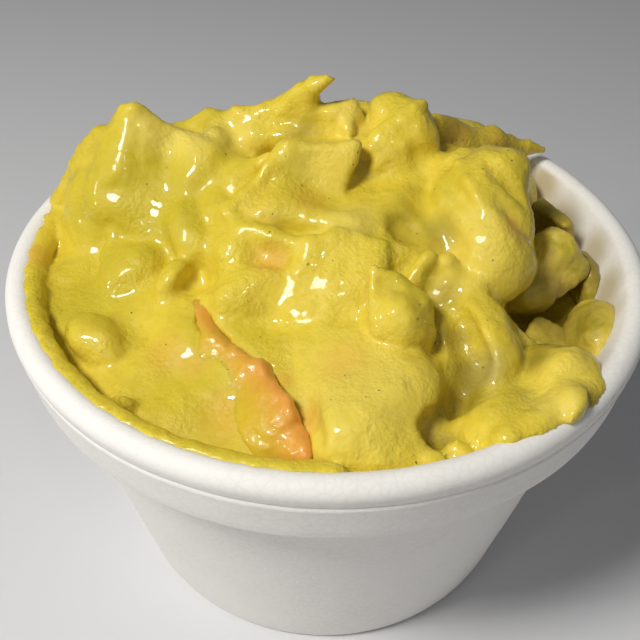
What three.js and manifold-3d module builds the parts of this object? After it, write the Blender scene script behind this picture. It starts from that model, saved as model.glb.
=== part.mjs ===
// Guacamole heaped in its squat foam cup, in millimetres, +Z up.
// The origin is the middle of the cup's foot, on the surface it stands on.
// The heap, the tomato and the avocado chunks are smooth unions of lobes, blocks and crests,
// summed as distances on a grid and turned into faces; the cup is a turned profile.
import * as THREE from 'three';
import { mergeVertices } from 'three/addons/utils/BufferGeometryUtils.js';
import Module from 'manifold-3d';

const wasm = await Module();
wasm.setup();

// ---------------------------------------------------------------- driving dimensions
const CUP_HEIGHT = 52;
const RIM_RADIUS = 45;              // outside of the rolled rim
const RIM_BEAD_RADIUS = 1.8;        // round of the rim's top edge
const LIP_HEIGHT = 8.5;             // straight band below the rim's round
const LIP_FOOT_RADIUS = 43.6;
const LIP_STEP = 3.4;               // how far the band stands out over the body
const LIP_ROUND = 0.4;              // break of the band's lower edge
const FOOT_RADIUS = 30.8;
const FOOT_ROUND = 1.0;
const FOOT_RING_WIDTH = 3.6;
const FOOT_RECESS = 0.8;            // underside inside the foot ring
const RECESS_SLOPE = 1.0;           // width of the recess's sloping side
const FLOOR_THICKNESS = 2.6;
const FLOOR_ROUND = 4;              // corner between the floor and the inside wall
const WALL = 2.3;                   // foam between the inside and the body
const MOUTH_RADIUS = 41.5;          // inside, just under the rim's round
const MOUTH_HEIGHT = 51;
const CUP_SEGMENTS = 56;

const GAP = 0.3;                    // clear space between two pieces
const HEAP_CELL = 2.2;              // grid of the heap
const PIECE_CELL = 1.7;             // grid of the small pieces
const HEAP_BOTTOM = 38;             // the sculpted heap starts here, on a plain filling
const HEAP_TOP = 76;                // top of the heap's grid
const FILL_LEVEL = 47.5;            // level that the filling reaches between the lobes
const WALL_OVERLAP = 0.8;           // the filling runs this far into the wall before it is cut
const REACH = 44.7;                 // the heap stays inside this radius
const CLEAN_UP = 0.01;              // largest shift when needless points are taken out

const BODY_RADIUS = LIP_FOOT_RADIUS - LIP_STEP;      // top of the tapered body, under the band
const LIP_FOOT = CUP_HEIGHT - RIM_BEAD_RADIUS - LIP_HEIGHT;

// Inside of the cup: parallel to the body, then flared to the mouth behind the band.
function innerRadius(z) {
  const body = FOOT_RADIUS + (BODY_RADIUS - FOOT_RADIUS) * z / LIP_FOOT - WALL;
  const flare = (MOUTH_RADIUS - BODY_RADIUS + WALL) / (MOUTH_HEIGHT - LIP_FOOT);
  return z < LIP_FOOT ? body : BODY_RADIUS - WALL + flare * (z - LIP_FOOT);
}

// ---------------------------------------------------------------- distance forms
// A soft fold of space, which makes every lobe a little uneven.
function fold(x, y, z) {
  return [
    x + 0.85 * Math.sin(0.31 * y + 0.23 * z + 0.5) + 0.30 * Math.sin(0.62 * z - 0.47 * y + 0.36 * x + 2.0),
    y + 0.85 * Math.sin(0.27 * x - 0.25 * z + 1.7) + 0.30 * Math.sin(0.58 * x + 0.41 * z - 0.33 * y + 0.3),
    z + 0.50 * Math.sin(0.30 * x + 0.24 * y + 0.9) + 0.22 * Math.sin(0.55 * y - 0.52 * x + 0.3 * z + 4.0),
  ];
}

const smoothMin = (a, b, blend) => {
  const h = Math.max(blend - Math.abs(a - b), 0) / blend;
  return Math.min(a, b) - h * h * blend * 0.25;
};
const smoothMax = (a, b, blend) => -smoothMin(-a, -b, blend);

// Rows that take an offset into a frame turned by yaw, pitch and roll, in degrees.
function turnedRows([yaw, pitch, roll]) {
  const euler = new THREE.Euler(...[roll, pitch, yaw].map(THREE.MathUtils.degToRad), 'ZYX');
  const m = new THREE.Matrix4().makeRotationFromEuler(euler).elements;
  return [[m[0], m[1], m[2]], [m[4], m[5], m[6]], [m[8], m[9], m[10]]];
}

const dot = (row, x, y, z) => row[0] * x + row[1] * y + row[2] * z;

// An ellipsoid.
function lobe(centre, radii, turn = [0, 0, 0]) {
  const rows = turnedRows(turn);
  const [cx, cy, cz] = fold(...centre);
  return {
    centre,
    reach: [0, 1, 2].map(() => Math.max(...radii)),
    distance(x, y, z) {
      const local = rows.map((row) => dot(row, x - cx, y - cy, z - cz));
      const k0 = Math.hypot(...local.map((v, i) => v / radii[i]));
      const k1 = Math.hypot(...local.map((v, i) => v / (radii[i] * radii[i])));
      return k0 * (k0 - 1) / Math.max(k1, 1e-6);
    },
  };
}

// A box with rounded edges, given by its half sizes.
function block(centre, half, turn = [0, 0, 0], edge = 1) {
  const rows = turnedRows(turn);
  const [cx, cy, cz] = fold(...centre);
  return {
    centre,
    reach: [0, 1, 2].map(() => Math.hypot(...half)),
    distance(x, y, z) {
      const q = rows.map((row, i) => Math.abs(dot(row, x - cx, y - cy, z - cz)) - (half[i] - edge));
      return Math.hypot(...q.map((v) => Math.max(v, 0))) + Math.min(Math.max(...q), 0) - edge;
    },
  };
}

// A crest through points, each with its own radius: [x, y, z, radius].
function crest(points, folded = true) {
  const path = points.map(([x, y, z, r]) => [...(folded ? fold(x, y, z) : [x, y, z]), r]);
  const low = [0, 1, 2].map((i) => Math.min(...points.map((p) => p[i] - p[3])));
  const high = [0, 1, 2].map((i) => Math.max(...points.map((p) => p[i] + p[3])));
  return {
    centre: low.map((v, i) => (v + high[i]) / 2),
    reach: low.map((v, i) => (high[i] - v) / 2),
    folded,
    distance(x, y, z) {
      let best = Infinity;
      for (let i = 1; i < path.length; i += 1) {
        const [a, b] = [path[i - 1], path[i]];
        const along = [b[0] - a[0], b[1] - a[1], b[2] - a[2]];
        const t = THREE.MathUtils.clamp(
          dot(along, x - a[0], y - a[1], z - a[2]) / dot(along, ...along), 0, 1);
        const d = Math.hypot(x - a[0] - t * along[0], y - a[1] - t * along[1], z - a[2] - t * along[2])
          - (a[3] + t * (b[3] - a[3]));
        best = best === Infinity ? d : smoothMin(best, d, 0.6);
      }
      return best;
    },
  };
}

// Points on a level circle round the cup's axis, for a crest.
function ring(from, to, radius, z, thickness, step = 6) {
  const count = Math.max(2, Math.round(Math.abs(to - from) / step));
  return Array.from({ length: count + 1 }, (_, i) => {
    const a = THREE.MathUtils.degToRad(from + (to - from) * i / count);
    return [radius * Math.cos(a), radius * Math.sin(a), z, thickness];
  });
}

// ---------------------------------------------------------------- clay: distances on a grid
const CORNERS = [0, 1, 2, 3, 4, 5, 6, 7].map((i) => [i & 1, (i >> 1) & 1, i >> 2]);
const EDGES = [0, 1, 2].flatMap((axis) => CORNERS.map((c, i) => [i, i | (1 << axis), axis])
  .filter(([a, b]) => a !== b));
const FACES = [0, 1, 2].flatMap((axis) => [0, 1].map((side) => {
  const [u, v] = [1 << ((axis + 1) % 3), 1 << ((axis + 2) % 3)];
  const base = side << axis;
  return [base, base | u, base | u | v, base | v];
}));
const edgeBetween = (a, b) => EDGES.findIndex(([p, q]) => (p === a && q === b) || (p === b && q === a));
const FACE_EDGES = FACES.map((corners) => corners.map((c, i) => edgeBetween(c, corners[(i + 1) % 4])));
const FAR = 20;                     // distance of a grid point that no form has reached
const LEAST = 0.05;                 // smallest distance that is kept, as a share of a cell

class Clay {
  constructor(low, high, cell) {
    this.low = low;
    this.cell = cell;
    this.count = low.map((v, i) => Math.ceil((high[i] - v) / cell) + 1);
    this.values = new Float32Array(this.count[0] * this.count[1] * this.count[2]).fill(FAR);
  }

  index(i, j, k) {
    return (i * this.count[1] + j) * this.count[2] + k;
  }

  place(i, j, k) {
    return [this.low[0] + i * this.cell, this.low[1] + j * this.cell, this.low[2] + k * this.cell];
  }

  // Runs a change over the grid points of a box, or over all of them.
  over(change, low = [-FAR, -FAR, -FAR].map((v) => v * FAR), high = low.map((v) => -v)) {
    const from = low.map((v, a) => Math.max(0, Math.floor((v - this.low[a]) / this.cell)));
    const to = high.map((v, a) => Math.min(this.count[a] - 1, Math.ceil((v - this.low[a]) / this.cell)));
    for (let i = from[0]; i <= to[0]; i += 1) {
      for (let j = from[1]; j <= to[1]; j += 1) {
        for (let k = from[2]; k <= to[2]; k += 1) {
          const n = this.index(i, j, k);
          this.values[n] = change(this.values[n], ...this.place(i, j, k));
        }
      }
    }
  }

  blend(form, mix) {
    const margin = 4 + 2 * this.cell;
    const low = form.centre.map((c, a) => c - form.reach[a] - margin);
    const high = form.centre.map((c, a) => c + form.reach[a] + margin);
    this.over((value, x, y, z) => mix(value, form.distance(
      ...(form.folded === false ? [x, y, z] : fold(x, y, z)))), low, high);
    return this;
  }

  add(form, softness) {
    return this.blend(form, (value, d) => smoothMin(value, d, softness));
  }

  cut(form, softness) {
    return this.blend(form, (value, d) => smoothMax(value, -d, softness));
  }

  // Closes the solid at the grid's sides, and pushes values off zero so that no face is a sliver.
  settle() {
    const least = LEAST * this.cell;
    const last = this.count.map((n) => n - 1);
    for (let i = 0; i <= last[0]; i += 1) {
      for (let j = 0; j <= last[1]; j += 1) {
        for (let k = 0; k <= last[2]; k += 1) {
          const n = this.index(i, j, k);
          const side = [i, j, k].some((v, a) => v === 0 || v === last[a]);
          if (side) this.values[n] = Math.max(this.values[n], 0.5 * this.cell);
          if (Math.abs(this.values[n]) < least) this.values[n] = this.values[n] < 0 ? -least : least;
        }
      }
    }
  }

  // A grid face whose diagonal corners agree and whose neighbours don't could join two sheets:
  // one outer corner is filled in, until there is none.
  clearDoubtfulFaces() {
    for (let pass = 0, changed = true; changed && pass < 20; pass += 1) {
      changed = false;
      this.eachCell((i, j, k, at) => {
        for (const face of FACES) {
          const inside = face.map((c) => this.values[at[c]] < 0);
          if (inside[0] === inside[2] && inside[1] === inside[3] && inside[0] !== inside[1]) {
            this.values[at[face[inside[0] ? 1 : 0]]] = -LEAST * this.cell;
            changed = true;
          }
        }
      });
    }
  }

  eachCell(visit) {
    for (let i = 0; i < this.count[0] - 1; i += 1) {
      for (let j = 0; j < this.count[1] - 1; j += 1) {
        for (let k = 0; k < this.count[2] - 1; k += 1) {
          visit(i, j, k, CORNERS.map(([a, b, c]) => this.index(i + a, j + b, k + c)));
        }
      }
    }
  }

  // The surface where the distance is `level`: one point for each sheet in a cell, and one
  // four-sided face round each grid edge that crosses it.
  toGeometry(level = 0) {
    if (level) this.values = this.values.map((v) => v - level);
    this.settle();
    this.clearDoubtfulFaces();
    const points = [];
    const sheetOf = new Map();      // grid edge and cell -> point
    this.eachCell((i, j, k, at) => {
      const inside = at.map((n) => this.values[n] < 0);
      if (inside.every((v) => v === inside[0])) return;
      const links = EDGES.map(() => []);
      FACES.forEach((corners, f) => {
        const crossed = FACE_EDGES[f].filter((e) => inside[EDGES[e][0]] !== inside[EDGES[e][1]]);
        if (crossed.length === 2) {
          links[crossed[0]].push(crossed[1]);
          links[crossed[1]].push(crossed[0]);
        }
      });
      const seen = new Set();
      EDGES.forEach((_, start) => {
        if (!links[start].length || seen.has(start)) return;
        const loop = [];
        for (let e = start; e !== undefined;) {
          seen.add(e);
          loop.push(e);
          e = links[e].find((next) => !seen.has(next));
        }
        const sum = [0, 0, 0];
        for (const e of loop) {
          const [a, b, axis] = EDGES[e];
          const t = this.values[at[a]] / (this.values[at[a]] - this.values[at[b]]);
          CORNERS[a].forEach((v, n) => { sum[n] += v + (n === axis ? t : 0); });
        }
        const corner = this.place(i, j, k);
        points.push(...sum.map((v, n) => corner[n] + this.cell * v / loop.length));
        for (const e of loop) {
          sheetOf.set(`${at[EDGES[e][0]]},${EDGES[e][2]},${at[0]}`, points.length / 3 - 1);
        }
      });
    });
    const faces = [];
    const strides = [this.count[1] * this.count[2], this.count[2], 1];
    for (let n = 0; n < this.values.length; n += 1) {
      for (let axis = 0; axis < 3; axis += 1) {
        const [u, v] = [strides[(axis + 1) % 3], strides[(axis + 2) % 3]];
        const round = [n - u - v, n - v, n, n - u].map((cell) => sheetOf.get(`${n},${axis},${cell}`));
        if (round.some((p) => p === undefined)) continue;
        const quad = this.values[n] < 0 ? round : round.reverse();
        faces.push(quad[0], quad[1], quad[2], quad[0], quad[2], quad[3]);
      }
    }
    const geometry = new THREE.BufferGeometry();
    geometry.setAttribute('position', new THREE.Float32BufferAttribute(points, 3));
    geometry.setIndex(faces);
    return geometry;
  }
}

// ---------------------------------------------------------------- joining and cutting
function toSolid(geometry) {
  const bare = geometry.clone();
  bare.deleteAttribute('normal');
  bare.deleteAttribute('uv');
  const merged = mergeVertices(bare, 1e-4);
  return new wasm.Manifold(new wasm.Mesh({
    numProp: 3,
    vertProperties: new Float32Array(merged.attributes.position.array),
    triVerts: new Uint32Array(merged.index.array),
  }));
}

function toGeometry(solid) {
  const mesh = solid.getMesh();
  const geometry = new THREE.BufferGeometry();
  geometry.setAttribute('position', new THREE.BufferAttribute(mesh.vertProperties, 3));
  geometry.setIndex(new THREE.BufferAttribute(mesh.triVerts, 1));
  return geometry;
}

// Cutting can leave loose scraps: only the largest body is kept.
const largest = (solid) => solid.simplify(CLEAN_UP).decompose()
  .sort((a, b) => b.volume() - a.volume())[0];

const turned = (outline) => new THREE.LatheGeometry(
  outline.map(([r, z]) => new THREE.Vector2(r, z)), CUP_SEGMENTS).rotateX(Math.PI / 2);

// ---------------------------------------------------------------- foam cup
function arcPoints(r, z, radius, from, to, count) {
  return Array.from({ length: count + 1 }, (_, i) => {
    const a = THREE.MathUtils.degToRad(from + (to - from) * i / count);
    return [r + radius * Math.cos(a), z + radius * Math.sin(a)];
  });
}

// The inside's half section from the wall's foot down to the axis, `grow` away from the foam.
const floorCorner = (grow) => [
  ...arcPoints(innerRadius(FLOOR_THICKNESS + FLOOR_ROUND) - FLOOR_ROUND, FLOOR_THICKNESS + FLOOR_ROUND,
    FLOOR_ROUND - grow, 0, -90, 3),
  [0, FLOOR_THICKNESS + grow],
];

// Half section of the cup, grown by `grow` on every side.
function cupOutline(grow = 0) {
  const ringInside = FOOT_RADIUS - FOOT_RING_WIDTH;
  return [
    [0, FOOT_RECESS - grow],
    [ringInside - RECESS_SLOPE, FOOT_RECESS - grow],
    [ringInside - grow, -grow],
    ...arcPoints(FOOT_RADIUS - FOOT_ROUND, FOOT_ROUND, FOOT_ROUND + grow, -90, -10, 3),
    [BODY_RADIUS + grow, LIP_FOOT - grow],
    [LIP_FOOT_RADIUS - LIP_ROUND, LIP_FOOT - grow],
    [LIP_FOOT_RADIUS + grow, LIP_FOOT + LIP_ROUND],
    ...arcPoints(RIM_RADIUS - RIM_BEAD_RADIUS, CUP_HEIGHT - RIM_BEAD_RADIUS,
      RIM_BEAD_RADIUS + grow, -10, 150, 8),
    [innerRadius(MOUTH_HEIGHT - RIM_BEAD_RADIUS / 2) - grow, MOUTH_HEIGHT - RIM_BEAD_RADIUS / 2],
    [innerRadius(LIP_FOOT) - grow, LIP_FOOT],
    ...floorCorner(grow),
  ];
}

// ---------------------------------------------------------------- tomato and avocado pieces
// In the order they are set in: a later one gives way to an earlier one.
const TOMATO = { color: 0xe3a04a, roughness: 0.35 };
const AVOCADO = { color: 0xb9ad45, roughness: 0.4 };
const PIECES = {
  tomato_piece: {
    ...TOMATO, low: [-24, -42, 44], high: [4, -8, 58],
    shape(clay) {
      clay.add(crest([
        [-17.3, -13.6, 51.7, 0.9], [-15.4, -17.8, 51.5, 1.4], [-13.4, -21.2, 51.0, 1.8],
      ]), 1);
      clay.add(block([-12.6, -23.6, 50.3], [4.6, 2.5, 1.7], [-54, 8, 32], 1.2), 1.6);
      clay.add(block([-8.2, -30.5, 49.4], [5.4, 3.5, 1.8], [-52, 4, 36], 1.2), 1.6);
      clay.add(lobe([-4.4, -34.8, 48.5], [3.4, 2.6, 1.7], [-60, 0, 24]), 1.6);
    },
  },
  avocado_chunk_upper: {
    ...AVOCADO, low: [22, -12, 38], high: [44, 12, 58],
    shape(clay) {
      clay.add(block([33.0, 1.3, 48.8], [4.8, 3.5, 3.9], [28, -26, -12], 2.3), 1);
      clay.add(lobe([29.6, -3.0, 46.6], [4.2, 3.6, 3.6]), 1.5);
    },
  },
  avocado_chunk_middle: {
    ...AVOCADO, low: [24, -20, 36], high: [40, 0, 54],
    shape(clay) {
      clay.add(block([32.0, -10.6, 41.6], [3.9, 3.0, 3.0], [-20, 12, 14], 1.0), 1);
    },
  },
  avocado_chunk_back: {
    ...AVOCADO, low: [26, 2, 38], high: [44, 22, 58],
    shape(clay) {
      clay.add(block([33.6, 10.6, 48.6], [1.0, 4.2, 3.8], [38, -14, 4], 0.5), 1);
    },
  },
  avocado_chunk_outer: {
    ...AVOCADO, low: [28, -22, 36], high: [45, 0, 54],
    shape(clay) {
      clay.add(lobe([37.9, -11.8, 44.2], [4.0, 7.2, 5.2]), 1);
    },
  },
  avocado_chunk_side: {
    ...AVOCADO, low: [30, -6, 36], high: [44, 12, 54],
    shape(clay) {
      clay.add(lobe([39.2, 2.6, 44.6], [2.2, 5.0, 4.6]), 1);
    },
  },
};

function sculptPiece({ low, high, shape }, grow = 0) {
  const clay = new Clay(low, high, PIECE_CELL);
  shape(clay);
  return toSolid(clay.toGeometry(grow));
}

// ---------------------------------------------------------------- guacamole
// The level that fills the cup.
function lowGround(clay) {
  clay.add(lobe([-2, 0, 45.5], [38, 38, 7.8]), 3);
  clay.add(lobe([-35, -2, 46.0], [7, 13, 4.6]), 3);
}

// The hollow at the right, which holds the avocado chunks.
function rightHollow(clay) {
  clay.cut(lobe([38, 4, 46], [10, 19, 9]), 2);
  clay.cut(lobe([31.6, -8.5, 46.0], [8.8, 8.0, 9.5]), 1.5);
}

// The middle of the heap, down to its front tongue.
function middleMass(clay) {
  clay.add(lobe([0, 10, 50], [18, 13, 12.6]), 4);
  clay.add(block([-3.0, -0.5, 55.3], [9.5, 7, 5.6], [-14, 0, -4], 3.0), 3);
  clay.add(lobe([-6.5, 0.5, 57.6], [6.5, 5, 5.0]), 2.5);
  clay.add(lobe([8, -2, 50], [13, 12, 10.6]), 4);
  clay.add(lobe([-8.5, -11, 49.5], [8.5, 8, 8.6], [20, 0, 0]), 3);
  clay.add(lobe([3, -21, 46.4], [10.5, 11, 8.2], [10, 0, 0]), 2.5);
  clay.add(lobe([5.5, -30, 47.0], [9.6, 11, 7.6], [12, 0, 8]), 3);
  clay.add(lobe([-9, -20, 45.5], [11, 12, 6.6], [30, 0, 0]), 3);
}

// The face swept up at the left and its crest.
function leftFace(clay) {
  clay.add(block([-26.4, 5.6, 55.2], [10.8, 10.2, 4.0], [-121, 49, 0], 3.9), 4);
  clay.add(crest([
    [-40, 12.5, 49, 3.4], [-37.4, 11.4, 54.4, 2.8], [-34.6, 10.4, 59.6, 2.4],
    [-32.4, 10.0, 62.8, 1.9],
  ]), 2.5);
  clay.add(crest([[-34.0, 9.8, 61.4, 1.7], [-31.8, 9.4, 63.4, 1.5], [-30.2, 9.2, 64.6, 1.3]]), 1.6);
  clay.add(crest([
    [-29.0, 9.2, 66.2, 1.7], [-27.4, 9.2, 67.6, 1.4], [-25.6, 9.2, 66.0, 1.1],
    [-23.6, 9.1, 64.1, 1.0], [-21.4, 8.8, 63.3, 1.0], [-19.2, 8.2, 62.8, 1.0],
    [-17.4, 7.4, 62.5, 1.2],
  ]), 1.2);
  clay.add(crest([
    [-28.8, 9.4, 67.6, 1.1], [-27.0, 9.4, 67.9, 0.9], [-25.2, 9.4, 66.2, 0.8],
    [-23.2, 9.3, 64.5, 0.8], [-20.8, 8.9, 63.8, 0.8], [-18.4, 7.9, 63.2, 0.8],
  ]), 0.6);
  clay.add(block([-27.3, 7.2, 61.4], [3.4, 5.4, 3.2], [0, 0, 46], 2.6), 3.5);
  clay.add(block([-26.6, 5.4, 57.5], [7.6, 7.0, 3.4], [0, 0, 40], 3.0), 5);
  clay.add(block([-32.0, 5.4, 55.2], [5.5, 6.4, 3.4], [0, -24, 40], 3.0), 5);
  clay.add(block([-20.6, 4.6, 56.0], [5.6, 6.4, 3.4], [0, 14, 36], 3.0), 5);
  clay.cut(crest([
    [-24.8, 12.6, 66.0, 1.5], [-21.4, 12.0, 64.4, 1.4], [-18.8, 10.8, 64.2, 1.1],
  ]), 1.0);
  clay.add(crest([
    [-31.5, 10.6, 58.6, 2.4], [-28, 10.4, 61.0, 2.4], [-24, 10.6, 59.8, 2.6],
    [-19, 9.4, 59.0, 3.0],
  ]), 2);
  clay.add(lobe([-21, 8, 50], [14, 9, 10.0]), 5);
  clay.add(lobe([-33, 7, 49], [8, 9, 5]), 5);
  clay.add(lobe([-18.0, -2.6, 54.8], [4.4, 6.0, 4.2]), 3);
}

// The band wiped over the rim, with the step on its inner side.
function rimSmear(clay) {
  clay.add(crest(ring(148, 272, 41.7, 50.1, 1.8), false), 1.5);
  clay.cut(crest(ring(192, 264, 37.9, 51.2, 1.9), false), 1.0);
}

// Lumps on the left slope.
function leftBumps(clay) {
  clay.add(lobe([-29.6, -18.9, 49.8], [4.2, 4.2, 3.2], [40, 0, 0]), 1.6);
  clay.cut(lobe([-25.6, -17.4, 51.6], [2.0, 2.8, 1.7], [50, 0, 0]), 1.3);
  clay.add(lobe([-27.4, -6.6, 50.8], [5.2, 4.8, 4.0], [20, 0, 0]), 1.8);
  clay.add(crest([
    [-31.4, -4.0, 51.6, 1.0], [-29.8, -1.2, 53.6, 1.0], [-28.4, 0.4, 54.6, 0.9],
  ]), 1.2);
  clay.add(lobe([-20.6, -10.4, 52.9], [2.2, 3.8, 3.3], [-8, 0, 0]), 1.5);
  clay.cut(lobe([-17.0, -11.6, 54.6], [2.2, 2.6, 2.6]), 1.4);
  clay.add(lobe([-24.6, -30.5, 49.0], [2.0, 1.5, 1.6]), 0.8);
  clay.add(lobe([-18.6, -18.4, 49.8], [3.6, 5.4, 2.6], [24, 0, 0]), 2);
}

// The block in the middle, the plateau below it and the crests at their left.
function middleBlock(clay) {
  clay.add(block([-1.3, 5.3, 60.9], [5.2, 4.0, 4.2], [-2, 0, -34], 1.1), 1.2);
  clay.add(lobe([-5, 2.0, 58.8], [4, 3, 3.6]), 2);
  clay.add(crest([
    [-6.4, 4.4, 64.9, 1.4], [-7.8, 1.6, 63.1, 1.4], [-9.4, 0.0, 61.5, 1.4],
    [-11.0, -1.6, 60.8, 1.4], [-13.0, -3.4, 60.1, 1.3],
  ]), 1.8);
  clay.add(crest([[-12.8, 3.2, 60.9, 1.4], [-10.8, 4.2, 61.6, 1.3], [-8.6, 5.2, 62.9, 1.3]]), 1.5);
  clay.add(crest([
    [-13.6, -4.2, 59.6, 1.4], [-11, -6.2, 58.9, 1.5], [-7.6, -8.2, 58.7, 1.4],
    [-5.0, -9.2, 58.6, 1.3],
  ]), 1.6);
  clay.cut(crest([
    [-13.0, -8.6, 58.4, 1.2], [-9.2, -11.0, 58.0, 1.4], [-5.6, -12.2, 58.0, 1.2],
  ]), 1.6);
  clay.cut(crest([[4.8, 4.4, 65.0, 0.9], [5.6, 2.4, 62.8, 1.1], [7.2, 0.4, 61.9, 1.0]]), 1.0);
  clay.cut(lobe([0.6, -2.6, 63.9], [6.6, 4.0, 3.2], [0, 0, -8]), 1.5);
}

// The mound that runs down beside the block, and the hollow at its right.
function hollowMound(clay) {
  clay.add(lobe([-13.5, 5.5, 56.8], [4.6, 7.5, 6.4], [10, 0, 0]), 2);
  clay.add(lobe([-11.5, -5.5, 54.6], [5.0, 5.5, 4.8]), 3);
  clay.add(crest([
    [-16.6, 12.5, 62.3, 2.2], [-16.2, 9.0, 62.9, 2.0], [-16.0, 5.5, 61.2, 2.2],
    [-16.0, 1.8, 58.9, 2.2], [-14.8, -2.6, 57.4, 2.4], [-13.4, -7.0, 55.6, 2.6],
  ]), 1.6);
  clay.cut(lobe([-11.7, 8.4, 64.6], [2.5, 3.8, 3.0], [-6, 0, 0]), 1.1);
}

// The ridge that runs up to the hooked tip.
function backRidge(clay) {
  clay.add(crest([
    [-29.0, 13.0, 55.6, 2.8], [-25.4, 13.4, 60.0, 2.4], [-22.4, 13.6, 60.6, 2.2],
    [-19.3, 13.7, 61.3, 2.1], [-16.8, 13.8, 63.2, 2.0], [-14.4, 13.8, 63.2, 2.0],
    [-13.0, 13.4, 64.8, 1.9], [-9.6, 13.4, 64.9, 2.0], [-7.4, 13.4, 65.7, 2.0],
    [-5.8, 13.0, 67.2, 1.8], [-4.3, 12.6, 68.9, 1.6], [-2.5, 12.0, 70.7, 1.3],
    [-1.1, 11.8, 71.5, 0.9], [0.1, 11.8, 71.6, 0.45],
  ]), 1.6);
  clay.add(crest([
    [-20.5, 17, 56.0, 4.0], [-12, 16, 60.0, 3.6], [-5, 15.6, 61.5, 3.4], [1.5, 16.5, 63.6, 2.4],
    [9, 16, 61, 4.5],
  ]), 2.5);
  clay.add(crest([[-3.6, 12.0, 65.4, 2.2], [0.0, 12.6, 66.0, 2.0], [1.6, 12.8, 66.1, 1.9]]), 1.2);
  clay.add(crest([[-3.2, 12.2, 65.4, 1.9], [-3.0, 12.2, 69.4, 1.4]]), 1.2);
  clay.add(crest([[1.0, 13.0, 66.1, 1.8], [3.0, 13.0, 66.3, 1.7]]), 1.2);
  clay.add(crest([[3.3, 13.8, 68.2, 0.4], [3.1, 12.4, 66.8, 0.8], [2.2, 9.2, 65.3, 1.0]]), 1.2);
  clay.cut(crest([[5.3, 14.8, 68.7, 1.1], [5.3, 11.6, 67.6, 1.1], [4.8, 8.4, 67.0, 1.0]]), 1.0);
  clay.add(crest([[5.2, 12.4, 62.6, 2.4], [4.6, 9.0, 62.4, 2.4]]), 1.5);
  clay.add(crest([
    [-14.5, 11.0, 60.6, 2.4], [-10.0, 11.2, 62.2, 2.4], [-5.5, 11.3, 63.0, 2.2],
    [1.0, 11.6, 63.8, 1.8],
  ]), 2);
  clay.cut(crest([[-5.0, 9.2, 66.4, 1.2], [-1.6, 8.8, 66.6, 1.2], [0.8, 8.6, 66.9, 1.0]]), 1.2);
}

// The dome with a curled crest.
function dome(clay) {
  clay.add(lobe([10.4, 12.4, 62.9], [5.0, 5.4, 6.1]), 1.3);
  clay.add(lobe([9.4, 8.6, 60.4], [4.6, 4.2, 4.8]), 1.6);
  clay.cut(crest([[12.0, 13.0, 69.4, 0.7], [10.2, 12.2, 69.0, 0.9], [7.6, 11.0, 68.2, 0.9]]), 1.2);
  clay.add(crest([
    [13.0, 13.0, 67.8, 0.9], [11.9, 11.2, 67.8, 0.9], [9.8, 9.7, 67.1, 0.9],
    [7.8, 8.7, 66.1, 0.9], [6.4, 8.0, 65.2, 0.9],
  ]), 1.0);
  clay.add(crest([[9.4, 9.0, 65.8, 1.2], [7.4, 7.8, 64.8, 1.3], [6.0, 6.9, 64.0, 1.2]]), 1.2);
  clay.add(crest([
    [12.2, 8.8, 64.8, 1.1], [9.8, 7.4, 64.2, 1.2], [7.8, 6.4, 63.2, 1.2], [6.6, 5.6, 62.2, 1.0],
  ]), 0.9);
  clay.add(crest([[12.6, 8.6, 59.4, 2.6], [15.6, 8.6, 59.8, 2.6], [18.6, 7.2, 61.4, 2.6]]), 2.2);
  clay.add(crest([[13.6, 13.0, 59.6, 2.2], [17.0, 13.2, 59.0, 2.2], [21.0, 13.0, 58.4, 2.4]]), 2.2);
}

// The tail that runs out to the right, and the mass under it.
function tail(clay) {
  clay.add(crest([
    [15.2, 16.6, 61.8, 2.6], [19.7, 18.6, 59.3, 2.3], [23.1, 19.8, 57.7, 2.1],
    [25.4, 20.8, 58.0, 2.0], [28.0, 22.0, 56.5, 1.7], [31.0, 23.2, 55.2, 1.2],
    [34.4, 24.5, 54.1, 0.5],
  ]), 1.3);
  clay.add(lobe([16, 21, 50], [17, 12, 8.8]), 4);
  clay.add(lobe([-10, 20, 49], [19, 14, 10]), 4);
}

// Lobes and folds on the far side.
function backFolds(clay) {
  clay.add(lobe([-17, 29, 50.5], [9, 6.5, 4.6], [28, 0, 0]), 1.8);
  clay.add(lobe([3, 32.5, 51.0], [8.5, 6, 5.6], [-8, 0, 0]), 1.6);
  clay.add(lobe([20, 28, 51.5], [6.5, 6.5, 5.2], [-35, 0, 0]), 1.8);
  clay.add(crest([
    [-15, 22, 56.5, 2.2], [-8, 25.5, 57.6, 2.6], [0, 25, 58.2, 2.4], [7, 27, 56.6, 1.8],
  ]), 1.6);
  clay.cut(crest([[-5, 37, 53.5, 1.3], [-5.6, 31, 57.0, 1.6], [-3.2, 21, 63.0, 1.6]]), 2.5);
  clay.cut(crest([[12, 35, 53.0, 1.3], [12.4, 29, 57.5, 1.5], [12, 22, 61.0, 1.5]]), 2.0);
  clay.add(block([-27.5, 22.5, 50.0], [4.4, 3.2, 3.2], [35, 10, 12], 1.2), 1.4);
  clay.add(lobe([28.0, 17.0, 50.5], [4.0, 4.6, 4.0]), 1.6);
}

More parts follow.
